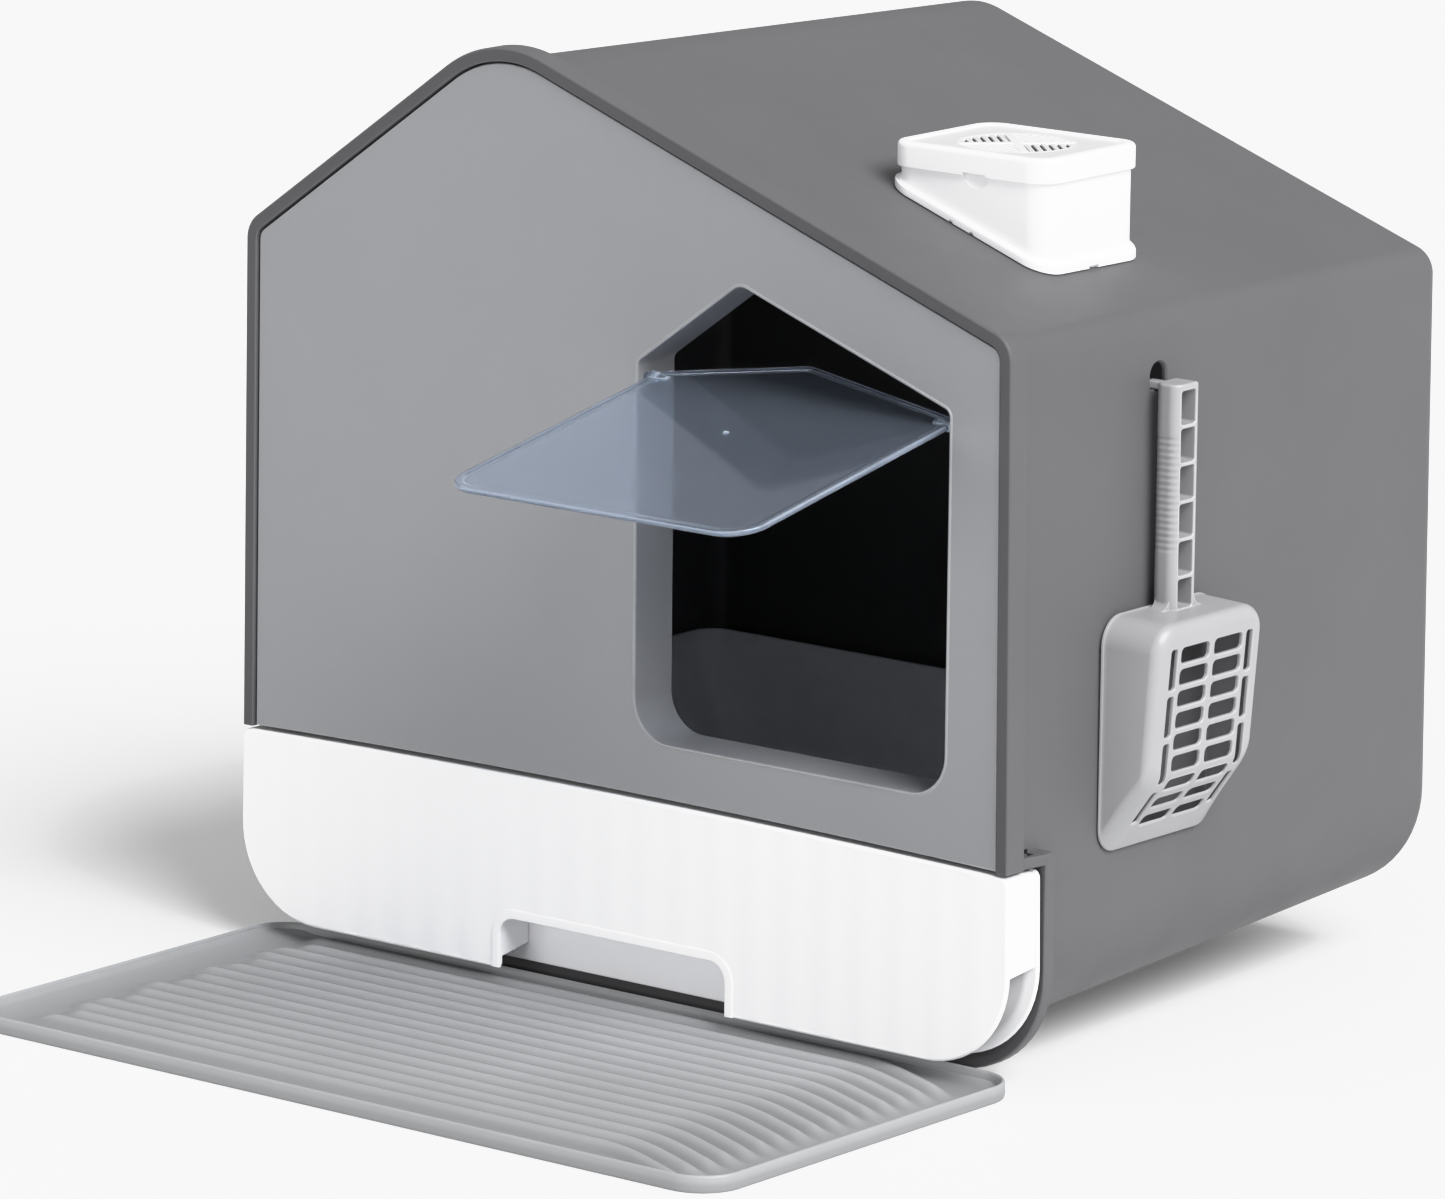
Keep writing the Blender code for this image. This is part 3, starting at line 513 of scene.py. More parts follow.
def arithmetic(tree, operation, first, second):
    node = add_node(tree, "ShaderNodeMath", operation=operation)
    feed(tree, node.inputs[0], first)
    feed(tree, node.inputs[1], second)
    return node.outputs[0]


def times(tree, first, second):
    return arithmetic(tree, "MULTIPLY", first, second)


def axes(tree, vector):
    return add_node(tree, "ShaderNodeSeparateXYZ", Vector=vector).outputs


def facing(tree):
    """Which way the surface looks, axis by axis."""
    return axes(tree, tree.nodes.new("ShaderNodeNewGeometry").outputs["Normal"])


def dimmed(colour, share):
    return tuple(channel * share for channel in colour)


def worn_and_highlit_edges(tree):
    """1 on sharp convex or concave edges, 0 on open faces."""
    bevel = add_node(tree, "ShaderNodeBevel", samples=4, Radius=0.0012)
    geometry = tree.nodes.new("ShaderNodeNewGeometry")
    product = add_node(tree, "ShaderNodeVectorMath", operation="DOT_PRODUCT")
    tree.links.new(bevel.outputs["Normal"], product.inputs[0])
    tree.links.new(geometry.outputs["Normal"], product.inputs[1])
    return mapped(tree, product.outputs["Value"], 0.995, 0.9, 0.0, 1.0)


def painted_shade_below(tree, place, base, colour, low, high, share, level_only):
    """Darkens what lies below a height with painted shade, as in the mat's rib valleys and the
    lid's lowered plate; level_only keeps this to faces that look up.
    """
    mask = mapped(tree, axes(tree, place)["Z"], low, high, 1.0, 0.0)
    if level_only:
        mask = times(tree, mask, mapped(tree, facing(tree)["Z"], 0.9, 0.98, 0.0, 1.0))
    return mixed(tree, mask, base, dimmed(colour, share))


def painted_front_shade(tree, base, colour, share):
    """Painted shade: darkens the faces that look forwards, as if less light reached them than the
    sides.
    """
    mask = mapped(tree, facing(tree)["Y"], -0.99, -0.9, 1.0, 0.0)
    return mixed(tree, mask, base, dimmed(colour, share))


def painted_cove_shade(tree, place, base, colour, share):
    """Painted shade in the recess under the drawer's side returns, deepest next to the front wall.
    """
    spot = axes(tree, place)
    across = arithmetic(tree, "SUBTRACT", spot["X"], HOUSE.x)
    across = arithmetic(tree, "ABSOLUTE", across, 0.0)
    front = HOUSE.y + FRONT_WALL
    top = SIDE_RETURN_BOTTOM[1]
    mask = mapped(tree, spot["Y"], front + 0.0198, HOUSE.y + TUB_FRONT_Y, 1.0, 0.0)
    limits = (
        (spot["Y"], front, front + GAP, 0.0, 1.0), (spot["Z"], top, top + GAP, 1.0, 0.0),
        (across, DRAWER_HALF - 0.06, DRAWER_HALF - 0.055, 0.0, 1.0),
        (across, DRAWER_HALF - FRONT_WALL, DRAWER_HALF - FRONT_WALL / 2, 1.0, 0.0),
    )
    for limit in limits:
        mask = times(tree, mask, mapped(tree, *limit))
    return mixed(tree, mask, base, dimmed(colour, share))


def moulded(name, colour, roughness, mottle, wear_and_highlight, speck=0.02, grain=1100.0, grain_depth=0.00005,
            wave_depth=0.0002, clear=0.0, recess_shade=None, front_shade_share=1.0, cove_shade_share=1.0,
            **constants):
    """Injection-moulded plastic: faint flow mottling, fine specks, spark-eroded grain, slow
    unevenness of large faces, and edges lighter and smoother, their lightening partly worn and
    partly painted highlight; painted shade can darken recesses, front faces and the cove."""
    material = bpy.data.materials.new(name)
    material.use_nodes = True
    tree = material.node_tree
    shader = tree.nodes["Principled BSDF"]
    place = tree.nodes.new("ShaderNodeTexCoord").outputs["Object"]

    clouds = mapped(tree, noise_node(tree, place, 9.0, 4.0, 0.6), 0.35, 0.65, 0, 1)
    lighter = tuple(min(channel * (1 + mottle), 1) for channel in colour)
    base = mixed(tree, clouds, dimmed(colour, 1 - mottle), lighter)
    dust = mapped(tree, noise_node(tree, place, 420.0, 3.0, 0.7), 0.6, 0.8, 0, 0.5)
    base = mixed(tree, dust, base, dimmed(colour, 1 - speck * 4))
    # Painted shade in recesses, such as rib valleys, darkens the base colour.
    if recess_shade:
        base = painted_shade_below(tree, place, base, colour, *recess_shade)
    # Painted shade on the faces that look forwards.
    if front_shade_share < 1:
        base = painted_front_shade(tree, base, colour, front_shade_share)
    # Painted shade in the drawer's cove.
    if cove_shade_share < 1:
        base = painted_cove_shade(tree, place, base, colour, cove_shade_share)
    edges = worn_and_highlit_edges(tree)
    patches = mapped(tree, noise_node(tree, place, 55.0), 0.3, 0.7, 0.45, 1.0)
    edge_share = times(tree, edges, patches)
    # Painted highlight together with worn edges: edges turn lighter in colour.
    worn_and_highlit_colour = tuple(channel + (1 - channel) * wear_and_highlight for channel in colour)
    base = mixed(tree, edge_share, base, worn_and_highlit_colour)
    tree.links.new(base, shader.inputs["Base Color"])

    smudges = noise_node(tree, place, 24.0, 3.0)
    rough = mapped(tree, smudges, 0.3, 0.7, roughness - 0.045, roughness + 0.045)
    polished = arithmetic(tree, "SUBTRACT", rough, times(tree, edge_share, 0.1))
    tree.links.new(polished, shader.inputs["Roughness"])

    texture = noise_node(tree, place, grain, 3.0, 0.65)
    fine = add_node(tree, "ShaderNodeBump", Strength=0.5, Distance=grain_depth, Height=texture)
    waves = noise_node(tree, place, 7.0, 1.0)
    slow = add_node(tree, "ShaderNodeBump", Strength=0.6, Distance=wave_depth, Height=waves,
                    Normal=fine.outputs["Normal"])
    tree.links.new(slow.outputs["Normal"], shader.inputs["Normal"])
    if clear:
        see_through = arithmetic(tree, "SUBTRACT", clear, times(tree, edges, 0.45))
        tree.links.new(see_through, shader.inputs["Transmission Weight"])
    for socket, value in constants.items():
        shader.inputs[socket.replace("_", " ")].default_value = value
    return material


def make_materials():
    return {
        "house_grey": moulded("textured_grey_plastic", (0.094, 0.093, 0.098), 0.52, 0.02, 0.015,
                              # painted shade darkens the shell's front faces
                              grain=900.0, grain_depth=0.00008, front_shade_share=0.68,
                              Specular_IOR_Level=0.2),
        "panel_grey": moulded("satin_light_grey_plastic", (0.203, 0.206, 0.216), 0.42, 0.015,
                              0.25),
        "flap_frost": moulded("clear_blue_plastic", (0.73, 0.83, 0.99), 0.07, 0.01, 0.3,
                              speck=0.0, grain_depth=0.00001, wave_depth=0.0003, clear=0.95,
                              IOR=1.46, Specular_Tint=(0.52, 0.71, 1.0, 1)),
        "drawer_white": moulded("satin_white_plastic", (0.9, 0.9, 0.92), 0.36, 0.008, 0.5,
                                # painted shade greys the cove behind the fascia's corners
                                speck=0.006, cove_shade_share=0.4),
        "vent_white": moulded("bright_white_plastic", (0.93, 0.93, 0.945), 0.34, 0.008, 0.5,
                              speck=0.006,
                              # painted shade greys the lid's lowered plate
                              recess_shade=(LID_TOP - 0.0011, LID_TOP - 0.0007, 0.58, True)),
        "charcoal": moulded("charcoal_felt", (0.03, 0.03, 0.031), 0.92, 0.25, 0.05,
                            speck=0.15, grain=520.0, grain_depth=0.0006),
        "scoop_grey": moulded("satin_mid_grey_plastic", (0.298, 0.298, 0.309), 0.38, 0.02, 0.3),
        "mat_grey": moulded("soft_grey_rubber", (0.262, 0.266, 0.272), 0.55, 0.035, 0.15,
                            speck=0.03, grain=700.0, grain_depth=0.00012,
                            # painted shade darkens the valleys between the ribs
                            recess_shade=(MAT_FLOOR + 0.0002, MAT_FLOOR + 0.0034, 0.76, False)),
        "pad_rubber": moulded("black_rubber", (0.022, 0.022, 0.023), 0.75, 0.15, 0.06,
                              grain=600.0, grain_depth=0.0002),
    }


# ---- the house ----
def along(pair, y):
    """Linear taper of a wall value from the front plane to the back."""
    return pair[0] + (pair[1] - pair[0]) * y / DEPTH


def wall_corners(y):
    halves = (along(WALL_HALF_LOW, y), along(WALL_HALF_HIGH, y))
    shoulders = (along(WALL_SHOULDER_R, y), along(WALL_SHOULDER_L, y))
    apex = [along(pair, y) for pair in zip(*WALL_APEX)]
    radii = (BASE_RADIUS, SHOULDER_RADIUS, along(WALL_APEX_RADIUS, y))
    return gable(halves, along(WALL_BOTTOM, y), shoulders, apex, radii)


def skin_stations(fronts, back, fillet, offset):
    """(y, inset) of one skin's rings, from its front to the rounded edge of its back."""
    radius = fillet - offset
    turns = [pi / 16 * step for step in range(9)]
    arc = [(back - fillet + radius * sin(a), radius * (1 - cos(a))) for a in turns]
    return [(y, 0.0) for y in fronts] + arc


def wall_rings(shape, offset):
    stations = skin_stations((WALL_FRONT_Y, 0.14, 0.27), DEPTH, BACK_FILLET, offset)
    return [traced(shape, inset(wall_corners(y), offset + distance), 14, upright, y)
            for y, distance in stations]


def house_walls():
    shape = bmesh.new()
    double_skin(shape, wall_rings(shape, 0.0), wall_rings(shape, WALL))
    return helper("walls", shape)


def rim_corners(bottom):
    flare = (RIM_HALF_LOW - RIM_HALF_HIGH) / (RIM_SHOULDERS[1] - FRONT_SPLIT)
    halves = (RIM_HALF_LOW + flare * (FRONT_SPLIT - bottom), RIM_HALF_HIGH)
    radii = (0, SHOULDER_RADIUS, RIM_APEX_RADIUS)
    return gable(halves, bottom, RIM_SHOULDERS[::-1], RIM_APEX, radii)


def rim_profile():
    """Closed section of the rim: rounded outer and inner front edges, small rounded rear edge."""
    rear = [(0, RIM_DEPTH - 0.0008), (0.00025, RIM_DEPTH - 0.0002), (0.0008, RIM_DEPTH)]
    inner = [(RIM_STEP - d, t) for d, t in rounding(0.0008, 3)[::-1]]
    return [*rounding(RIM_EDGE, 4), *rear, (RIM_STEP, RIM_DEPTH), *inner]


def collar_corners():
    top = FRONT_SPLIT + BRACKET_HEIGHT
    inner_half = along(WALL_HALF_LOW, MOUTH_Y) - WALL / 2
    inner_bottom = along(WALL_BOTTOM, MOUTH_Y) + WALL / 2
    inner_radius = BASE_RADIUS - WALL / 2
    return [
        (-COLLAR_HALF, COLLAR_BOTTOM, COLLAR_RADIUS), (COLLAR_HALF, COLLAR_BOTTOM, COLLAR_RADIUS),
        (COLLAR_HALF, top, 0.003), (inner_half, top, 0), (inner_half, inner_bottom, inner_radius),
        (-inner_half, inner_bottom, inner_radius), (-inner_half, top, 0),
        (-COLLAR_HALF, top, 0.003),
    ]


def bracket(side, wall_x, z_range):
    """Shelf from the foot of the rim to the collar, narrow in front and wider behind."""
    near, wide = RIM_HALF_LOW - 0.0002, COLLAR_HALF - 0.0004
    outline = [
        (wall_x, RIM_DEPTH / 2, 0), (near, RIM_DEPTH / 2, 0), (near, RIM_DEPTH + 0.0015, 0.004),
        (wide, MOUTH_Y, 0.004), (wide, MOUTH_Y + COLLAR_DEPTH / 2, 0),
        (wall_x, MOUTH_Y + COLLAR_DEPTH / 2, 0),
    ]
    return plate("bracket", [outline], edge_profile(*z_range, 0.0008, 3), mirrored(side), 4)


def hook_slot():
    """Cutter for the slot in the right wall, with a chamfer at the outer face."""
    arch = (SLOT_Y[1] - SLOT_Y[0]) * 0.49
    low, high = wall_corners(SCOOP_Y)[1:3]
    share = (sum(SLOT_Z) / 2 - low[1]) / (high[1] - low[1])
    face = low[0] + (high[0] - low[0]) * share
    profile = [(0, 0.235), (0, face - 0.0012), (-0.0008, face - 0.0003), (-0.0016, face + 0.0002),
               (-0.0016, face + 0.01)]
    corners = box_outline(SLOT_Y, SLOT_Z, 0.0025, arch)
    return plate("hook_slot", [corners], profile, sideways, 12)


def house_shell():
    rim = hoop("rim", rim_corners(RIM_BOTTOM), rim_profile(), upright, 16)
    mouth = block("mouth", (-0.3, 0.3), (-0.02, MOUTH_Y), (-0.02, FRONT_SPLIT), 0)
    edge = edge_profile(MOUTH_Y - WALL * 0.3, MOUTH_Y + COLLAR_DEPTH, 0.0013)
    collar = plate("collar", [collar_corners()], edge, upright, 14)
    steps = [add(rim), cut(mouth), add(collar)]
    wall_x = along(WALL_HALF_LOW, 0) - WALL / 2
    bracket_z = (FRONT_SPLIT + GAP, FRONT_SPLIT + BRACKET_HEIGHT - GAP)
    for side in (-1, 1):
        steps.append(add(bracket(side, wall_x, bracket_z)))
        x_range = sorted((side * (wall_x - WALL * 2), side * (wall_x + WALL * 1.7)))
        y_range = (RIM_DEPTH + 0.003, MOUTH_Y - 0.0036)
        z_range = (bracket_z[1] - 0.0028, bracket_z[1] + 0.0022)
        steps.append(cut(block("clip_window", x_range, y_range, z_range, 0.0004)))
    steps.append(add(block("rail", (-wall_x, wall_x), RAIL_Y, RAIL_Z, 0)))
    for side in (-1, 1):
        for x, y, front, back, top in FEET:
            x_range = sorted((side * (x - BOSS_HALF), side * (x + BOSS_HALF)))
            z_range = (FOOT_TOP + GAP, top)
            steps.append(add(block("boss", x_range, (y + front, y + back), z_range, 0.0016)))
    steps.append(cut(hook_slot()))
    hole_x = (VENT_X[0] + ROOF_HOLE_INSET, VENT_X[1] - ROOF_HOLE_INSET)
    hole_y = (VENT_Y[0] + ROOF_HOLE_INSET, VENT_Y[1] - ROOF_HOLE_INSET)
    hole = plate("hole", [box_outline(hole_x, hole_y, 0.008)], [(0, 0.38), (0, 0.48)], level)
    steps.append(cut(hole))
    shell = shaped(house_walls(), steps)
    present(shell, "house_moulding", "house", "house_grey", "house_shell")


# ---- front panel and flap ----
def seam(half, height, corner=0.0, steps=12):
    """Shallow arch from right to left along the seam above the drawer."""
    points = []
    for step in range(steps + 1):
        across = 1 - 2 * step / steps
        radius = corner if step in (0, steps) else 0
        points.append((half * across, height + SEAM_CROWN * (1 - across * across), radius))
    return points


DOOR_CORNERS = doorway(DOOR_LEFT, DOOR_RIGHT, DOOR_BOTTOM, DOOR_SHOULDER, DOOR_APEX, DOOR_RADII)


def door_sleeve():
    """Lining of the doorway: a rounded lip just proud of the panel, then a thin tunnel."""
    back = PANEL_Y[0] + DOOR_TUNNEL - 0.0015
    lip = 0.0005
    section = [
        (0, back), (0, 0.0024), (-0.0001, 0.0016), (-0.0004, PANEL_Y[0] - 0.6 * lip),
        (-0.0008, PANEL_Y[0] - lip), (-0.0012, PANEL_Y[0] - 0.9 * lip),
        (-0.0016, PANEL_Y[0] - 0.35 * lip), (-0.0018, PANEL_Y[0] + 0.0003),
        (-0.0024, PANEL_Y[1] - 0.0004), (-DOOR_SLEEVE, PANEL_Y[1] + 0.001), (-DOOR_SLEEVE, back),
        (-DOOR_SLEEVE / 2, back + 0.0004),
    ]
    return hoop("sleeve", DOOR_CORNERS, section, upright, 12)


def clip(side, z):
    """Snap tab behind the panel's side edge, with a barb at its end."""
    face = along(WALL_HALF_HIGH, 0) - WALL - 2 * GAP
    back = 0.02
    outline = [(face - 0.0022, PANEL_Y[1] - 0.001, 0), (face, PANEL_Y[1] - 0.001, 0),
               (face, back - 0.001, 0.0006), (face - 0.0008, back, 0.0006),
               (face - 0.0022, back, 0.0006)]
    profile = edge_profile(z - 0.008, z + 0.008, 0.0005, 3)
    return plate("clip", [outline], profile, mirrored(side), 3)


def front_panel():
    top = inset(rim_corners(RIM_BOTTOM), PANEL_INSET)[2:]
    bottom = seam(RIM_HALF_LOW - PANEL_INSET, FRONT_SPLIT + 0.0006)
    outline = bottom[::-1] + top
    opening = inset(DOOR_CORNERS, -0.0012)
    body = plate("panel", [outline, opening], edge_profile(*PANEL_Y, 0.0007, 3), upright, 16)
    steps = [add(door_sleeve())]
    steps += [add(clip(side, z)) for side in (-1, 1) for z in CLIP_HEIGHTS]
    for side, face in ((-1, DOOR_LEFT), (1, DOOR_RIGHT)):
        start = face + side * DOOR_SLEEVE * 0.5
        place = pose((start, HINGE_Y + 0.002, HINGE_Z), "Y", side * pi / 2)
        length = DOOR_SLEEVE * 0.5 + 0.003
        section = [(SOCKET_RADIUS, 0), (SOCKET_RADIUS, length - 0.0008),
                   (SOCKET_RADIUS - 0.0008, length)]
        steps.append(add(turned("boss", section, place)))
    reach = (DOOR_RIGHT - DOOR_LEFT) / 2 + 0.012
    middle = ((DOOR_LEFT + DOOR_RIGHT) / 2, HINGE_Y, HINGE_Z)
    bore = [(AXLE_RADIUS + 0.0004, -reach), (AXLE_RADIUS + 0.0004, reach)]
    steps.append(cut(turned("bore", bore, pose(middle, "Y", pi / 2))))
    present(shaped(body, steps), "front_panel_moulding", "house", "panel_grey", "front_panel")


FLAP_PLACE = pose((0, HINGE_Y, HINGE_Z), "X", -FLAP_OPEN)


def flap_place(u, v, depth):
    return FLAP_PLACE @ Vector((u, depth, v))


def door_flap():
    """Clear plate with a rounded bead along its edge, two stub axles and a moulding mark."""
    left, right = DOOR_LEFT + FLAP_SIDE_GAP, DOOR_RIGHT - FLAP_SIDE_GAP
    corners = doorway(left, right, -FLAP_DROP, FLAP_SHOULDER, FLAP_APEX, FLAP_RADII)
    half = [(0.006, 0.001), (0.005, 0.0011), (0.0043, 0.0015), (0.0036, 0.0017),
            (0.0014, 0.0017), (0.0007, 0.0015), (0.0002, 0.001), (0.0, 0.0004)]
    profile = [(d, -t) for d, t in half] + [(d, t) for d, t in half[::-1]]
    body = plate("flap", [corners], profile, flap_place, 12)
    steps = []
    for side, face, edge in ((-1, DOOR_LEFT, left), (1, DOOR_RIGHT, right)):
        tip = face + side * (DOOR_SLEEVE - 0.0002)
        root = edge - side * 0.01
        length = abs(tip - root)
        axle = [(0.0006, -0.0016), (AXLE_RADIUS - 0.0006, -0.0012), (AXLE_RADIUS, 0),
                (AXLE_RADIUS, length - 0.0005), (AXLE_RADIUS - 0.0005, length)]
        knuckle = [(0.0012, 0.0052), (0.0032, 0.0056), (0.0037, 0.0064), (0.0037, 0.0096),
                   (0.0032, 0.0104), (0.0012, 0.0108)]
        place = FLAP_PLACE @ pose((root, 0, 0), "Y", side * pi / 2)
        for section in (axle, knuckle):
            steps.append(add(turned("axle", section, place, 24)))
    mark = [(0.0015, -0.0012), (0.0015, 0.0012), (0.0012, 0.0014), (0.0008, 0.0014),
            (0.0006, 0.0011)]
    place = FLAP_PLACE @ pose((0.11, 0, -0.054), "X", pi / 2)
    steps.append(add(turned("mark", mark, place, 24)))
    present(shaped(body, steps), "flap_moulding", "flap", "flap_frost", "door_flap")


# ---- drawer ----
def flute(x):
    """Depth of the fascia's soft vertical flutes, slightly flattened at crests and valleys."""
    wave = cos(2 * pi * x / FLUTE_PITCH)
    return FLUTE_DEPTH * (0.5 - 0.5 * tanh(1.6 * wave) / tanh(1.6))


def notch_corners(low, foot_radius):
    return [(-NOTCH_HALF, low, foot_radius), (-NOTCH_HALF, NOTCH_TOP, NOTCH_RADIUS),
            (NOTCH_HALF, NOTCH_TOP, NOTCH_RADIUS), (NOTCH_HALF, low, foot_radius)]


def fascia_corners(with_notch=True):
    low = DRAWER_BOTTOM
    left, right = (-DRAWER_HALF, low, DRAWER_CORNER), (DRAWER_HALF, low, DRAWER_CORNER)
    middle = notch_corners(low, 0.003) if with_notch else []
    return [left, *middle, right, *seam(DRAWER_HALF - 0.002, DRAWER_TOP, 0.0045)]


def fascia_tray():
    """Front wall with its skirt; the face is cut into narrow columns that carry the flutes."""
    profile = [
        *rounding(FASCIA_EDGE, 5), (0, SKIRT_BACK - 0.0007), (0.0002, SKIRT_BACK - 0.0002),
        (0.0007, SKIRT_BACK), (FRONT_WALL - 0.0004, SKIRT_BACK), (FRONT_WALL, SKIRT_BACK - 0.0004),
        (FRONT_WALL, FRONT_WALL + 0.0015), (FRONT_WALL + 0.0015, FRONT_WALL),
    ]
    tray = plate("fascia", [fascia_corners()], profile, upright, 14)
    shape = bmesh.new()
    shape.from_mesh(tray.data)
    bpy.data.objects.remove(tray, do_unlink=True)
    columns = int(DRAWER_HALF / FLUTE_PITCH * 10)
    for column in range(-columns, columns + 1):
        face = [f for f in shape.faces if all(abs(v.co.y) < HAIR for v in f.verts)]
        edges = list({e for f in face for e in f.edges})
        verts = list({v for f in face for v in f.verts})
        bmesh.ops.bisect_plane(shape, geom=face + edges + verts, dist=0.000001,
                               plane_co=(column * FLUTE_PITCH / 10, 0, 0), plane_no=(1, 0, 0))
    for vertex in shape.verts:
        if abs(vertex.co.y) < HAIR:
            vertex.co.y = flute(vertex.co.x)
    return helper("fascia", shape)


def notch_path(distance, depth, floor):
    """Edge line round the finger notch, moved out from it, its two ends at one height."""
    corners = inset(notch_corners(floor, 0)[::-1], -distance)
    line = [upright(u, v, depth) for u, v in rounded(corners, 14)]
    line[0].z = floor
    line[-1].z = floor
    return line


def notch_bead():
    section = [(0.0001, 0.0015), (0.0001, 0.0003), (0.0004, -0.0002), (0.0009, -0.0004),
               (0.0046, -0.0004), (0.0053, -0.0001), (0.0057, 0.0004), (0.0057, 0.0015)]
    return strip("bead", [notch_path(d, y, DRAWER_BOTTOM + 0.0005) for d, y in section])


def skirt_cutter(side):
    """Opens the skirt below the side return, whose lower edge slants."""
    outline = [
        (FRONT_WALL + 0.0004, -0.01, 0), (SKIRT_BACK + 0.01, -0.01, 0),
        (SKIRT_BACK + 0.01, SIDE_RETURN_BOTTOM[1], 0),
        (FRONT_WALL + 0.0004, SIDE_RETURN_BOTTOM[0], 0.001),
    ]
    near = NOTCH_HALF + FRONT_WALL + 0.0008
    profile = [(0, side * near), (0, side * 0.3)]
    return plate("cutter", [outline], profile, sideways, 4)


def drawer_front():
    cheek = [(FRONT_WALL + 0.0004, -0.01, 0), (0.05, -0.01, 0), (0.05, 0.0285, 0),
             (FRONT_WALL + 0.0004, 0.0205, 0)]
    cheek_cut = plate("cheek_cut", [cheek], [(0, -0.3), (0, 0.3)], sideways)
    steps = [cut(skirt_cutter(-1)), cut(skirt_cutter(1)), cut(cheek_cut), add(notch_bead())]
    front = shaped(fascia_tray(), steps)
    present(front, "drawer_fascia", "drawer", "drawer_white", "drawer_front", angle=30)


def tub_rings(shape, offset):
    """One skin of the tub, from its front plate to the rounded foot of its back wall."""
    rings = []
    fronts = (TUB_FRONT_Y + 0.001, 0.14, 0.26)
    for y, distance in skin_stations(fronts, TUB_BACK_Y, TUB_FILLET, offset):
        share = y / TUB_BACK_Y
        half = TUB_HALF[0] + (TUB_HALF[1] - TUB_HALF[0]) * share - offset - distance
        bottom = TUB_BOTTOM[0] + (TUB_BOTTOM[1] - TUB_BOTTOM[0]) * share + offset + distance
        corner = BASE_RADIUS - 0.004 - offset - distance
        outline = [(-half, TUB_TOP, 0), (-half, bottom, corner), (half, bottom, corner),
                   (half, TUB_TOP, 0)]
        rings.append(traced(shape, outline, 14, upright, y))
    return rings


def tub_walls():
    shape = bmesh.new()
    outer = tub_rings(shape, 0.0)
    inner = tub_rings(shape, TUB_WALL)
    double_skin(shape, outer, inner, closed=False)
    for end in (0, -1):
        skin(shape, [[line[end] for line in outer], [line[end] for line in inner]], closed=False)
    shape.faces.new((outer[-1][0], outer[-1][-1], inner[-1][-1], inner[-1][0]))
    return helper("tub", shape)


def tub_side_wall(side):
    """Hollow wall between fascia and tub front, flaring out to the tub's flange; it shows below
    the side return."""
    cove = [(0.0215, FRONT_WALL + GAP), (0.0205, 0.0085), (0.017, 0.0145), (0.011, 0.0195),
            (0.005, 0.0229), (0.001, TUB_FRONT_Y + 0.0004)]
    wall = 0.0024
    lines = []
    for distance, y in cove + [(d + wall, y + 0.0008) for d, y in cove[::-1]]:
        corners = inset(fascia_corners(with_notch=False), distance)
        right = corners[1]
        path = [(0.086, right[1], 0), right, (right[0], 0.1135, 0)]
        points = rounded([*path, (0.086, 0.1135, 0)], 14)[:-1]
        lines.append([Vector((side * u, y, v)) for u, v in points])
    return strip("side_wall", lines)


def drawer_tub():
    corners = inset(fascia_corners(with_notch=False), -0.0005)
    back = MOUTH_Y - WALL * 0.3 - GAP
    profile = [(d, TUB_FRONT_Y + t) for d, t in rounding(0.0009, 4)]
    profile += [(0, back - 0.0016), (0.0003, back - 0.0013), (0.005, back - 0.0012),
                (0.005, back)]
    steps = [add(plate("tub_front", [corners], profile, upright, 14))]
    steps += [add(tub_side_wall(side)) for side in (-1, 1)]
    present(shaped(tub_walls(), steps), "drawer_tray", "drawer", "drawer_white", "drawer_tub")


# ---- deodoriser box ----
def roof_height(x, y):
    """Height of the right roof slope's outer face."""
    _, _, shoulder, apex, _ = wall_corners(y)
    return apex[1] + (shoulder[1] - apex[1]) * (x - apex[0]) / (shoulder[0] - apex[0])


def vent_ring(shape, distance, height, on_roof=False):
    """A ring of the box's outline, at one level or following the roof's slope."""
    points = []
    for x, y in rounded(inset(box_outline(VENT_X, VENT_Y, VENT_RADIUS), distance), 12):
        points.append(Vector((x, y, height + (roof_height(x, y) if on_roof else 0))))
    return ring(shape, points)


def vent_housing():
    shape = bmesh.new()
    clear = GAP * 1.5
    foot = [(-VENT_WALL, clear), (FLANGE_OUT - 0.0006, clear), (FLANGE_OUT, 0.001),
            (FLANGE_OUT, 0.004), (FLANGE_OUT - 0.0003, 0.0047), (FLANGE_OUT - 0.0011, 0.0052),
            (0.0014, 0.0056), (0.0005, 0.0063), (0.0001, 0.0076), (0.0, 0.0095)]
    head = [(0.0, VENT_TOP - 0.0006), (-0.0006, VENT_TOP), (-VENT_WALL + 0.0006, VENT_TOP),
            (-VENT_WALL, VENT_TOP - 0.0006)]
    rings = [vent_ring(shape, -out, height, True) for out, height in foot]
    rings += [vent_ring(shape, -out, height) for out, height in head]
    skin(shape, rings + rings[:1])
    steps = []
    for x in (VENT_X[0] + 0.041, VENT_X[0] + 0.0545):
        x_range = (x - 0.0014, x + 0.0014)
        y_range = (VENT_Y[0] - 0.01, VENT_Y[0] - 0.0018)
        z = roof_height(x, VENT_Y[0])
        steps.append(cut(block("cutter", x_range, y_range, (z - 0.01, z + 0.0021), 0)))
    x_range = (VENT_X[1] + 0.0018, VENT_X[1] + 0.01)
    y = VENT_CENTRE[1] - 0.002
    z = roof_height(VENT_X[1], y)
    y_range = (y - 0.0042, y + 0.0042)
    steps.append(cut(block("cutter", x_range, y_range, (z - 0.01, z + 0.0012), 0)))
    steps.append(cut(thumb_dish()))
    shelf_x = (0.119, VENT_X[1] - VENT_RADIUS)
    shelf_z = (0.4396, 0.4412)
    for side, y in ((1, VENT_Y[0]), (-1, VENT_Y[1])):
        y_range = sorted((y + side * VENT_WALL / 2, y + side * (VENT_WALL + 0.004)))
        steps.append(add(block("shelf", shelf_x, y_range, shelf_z, 0.0004)))
    housing = shaped(helper("housing", shape), steps)
    present(housing, "vent_box", "house", "vent_white", "vent_housing")


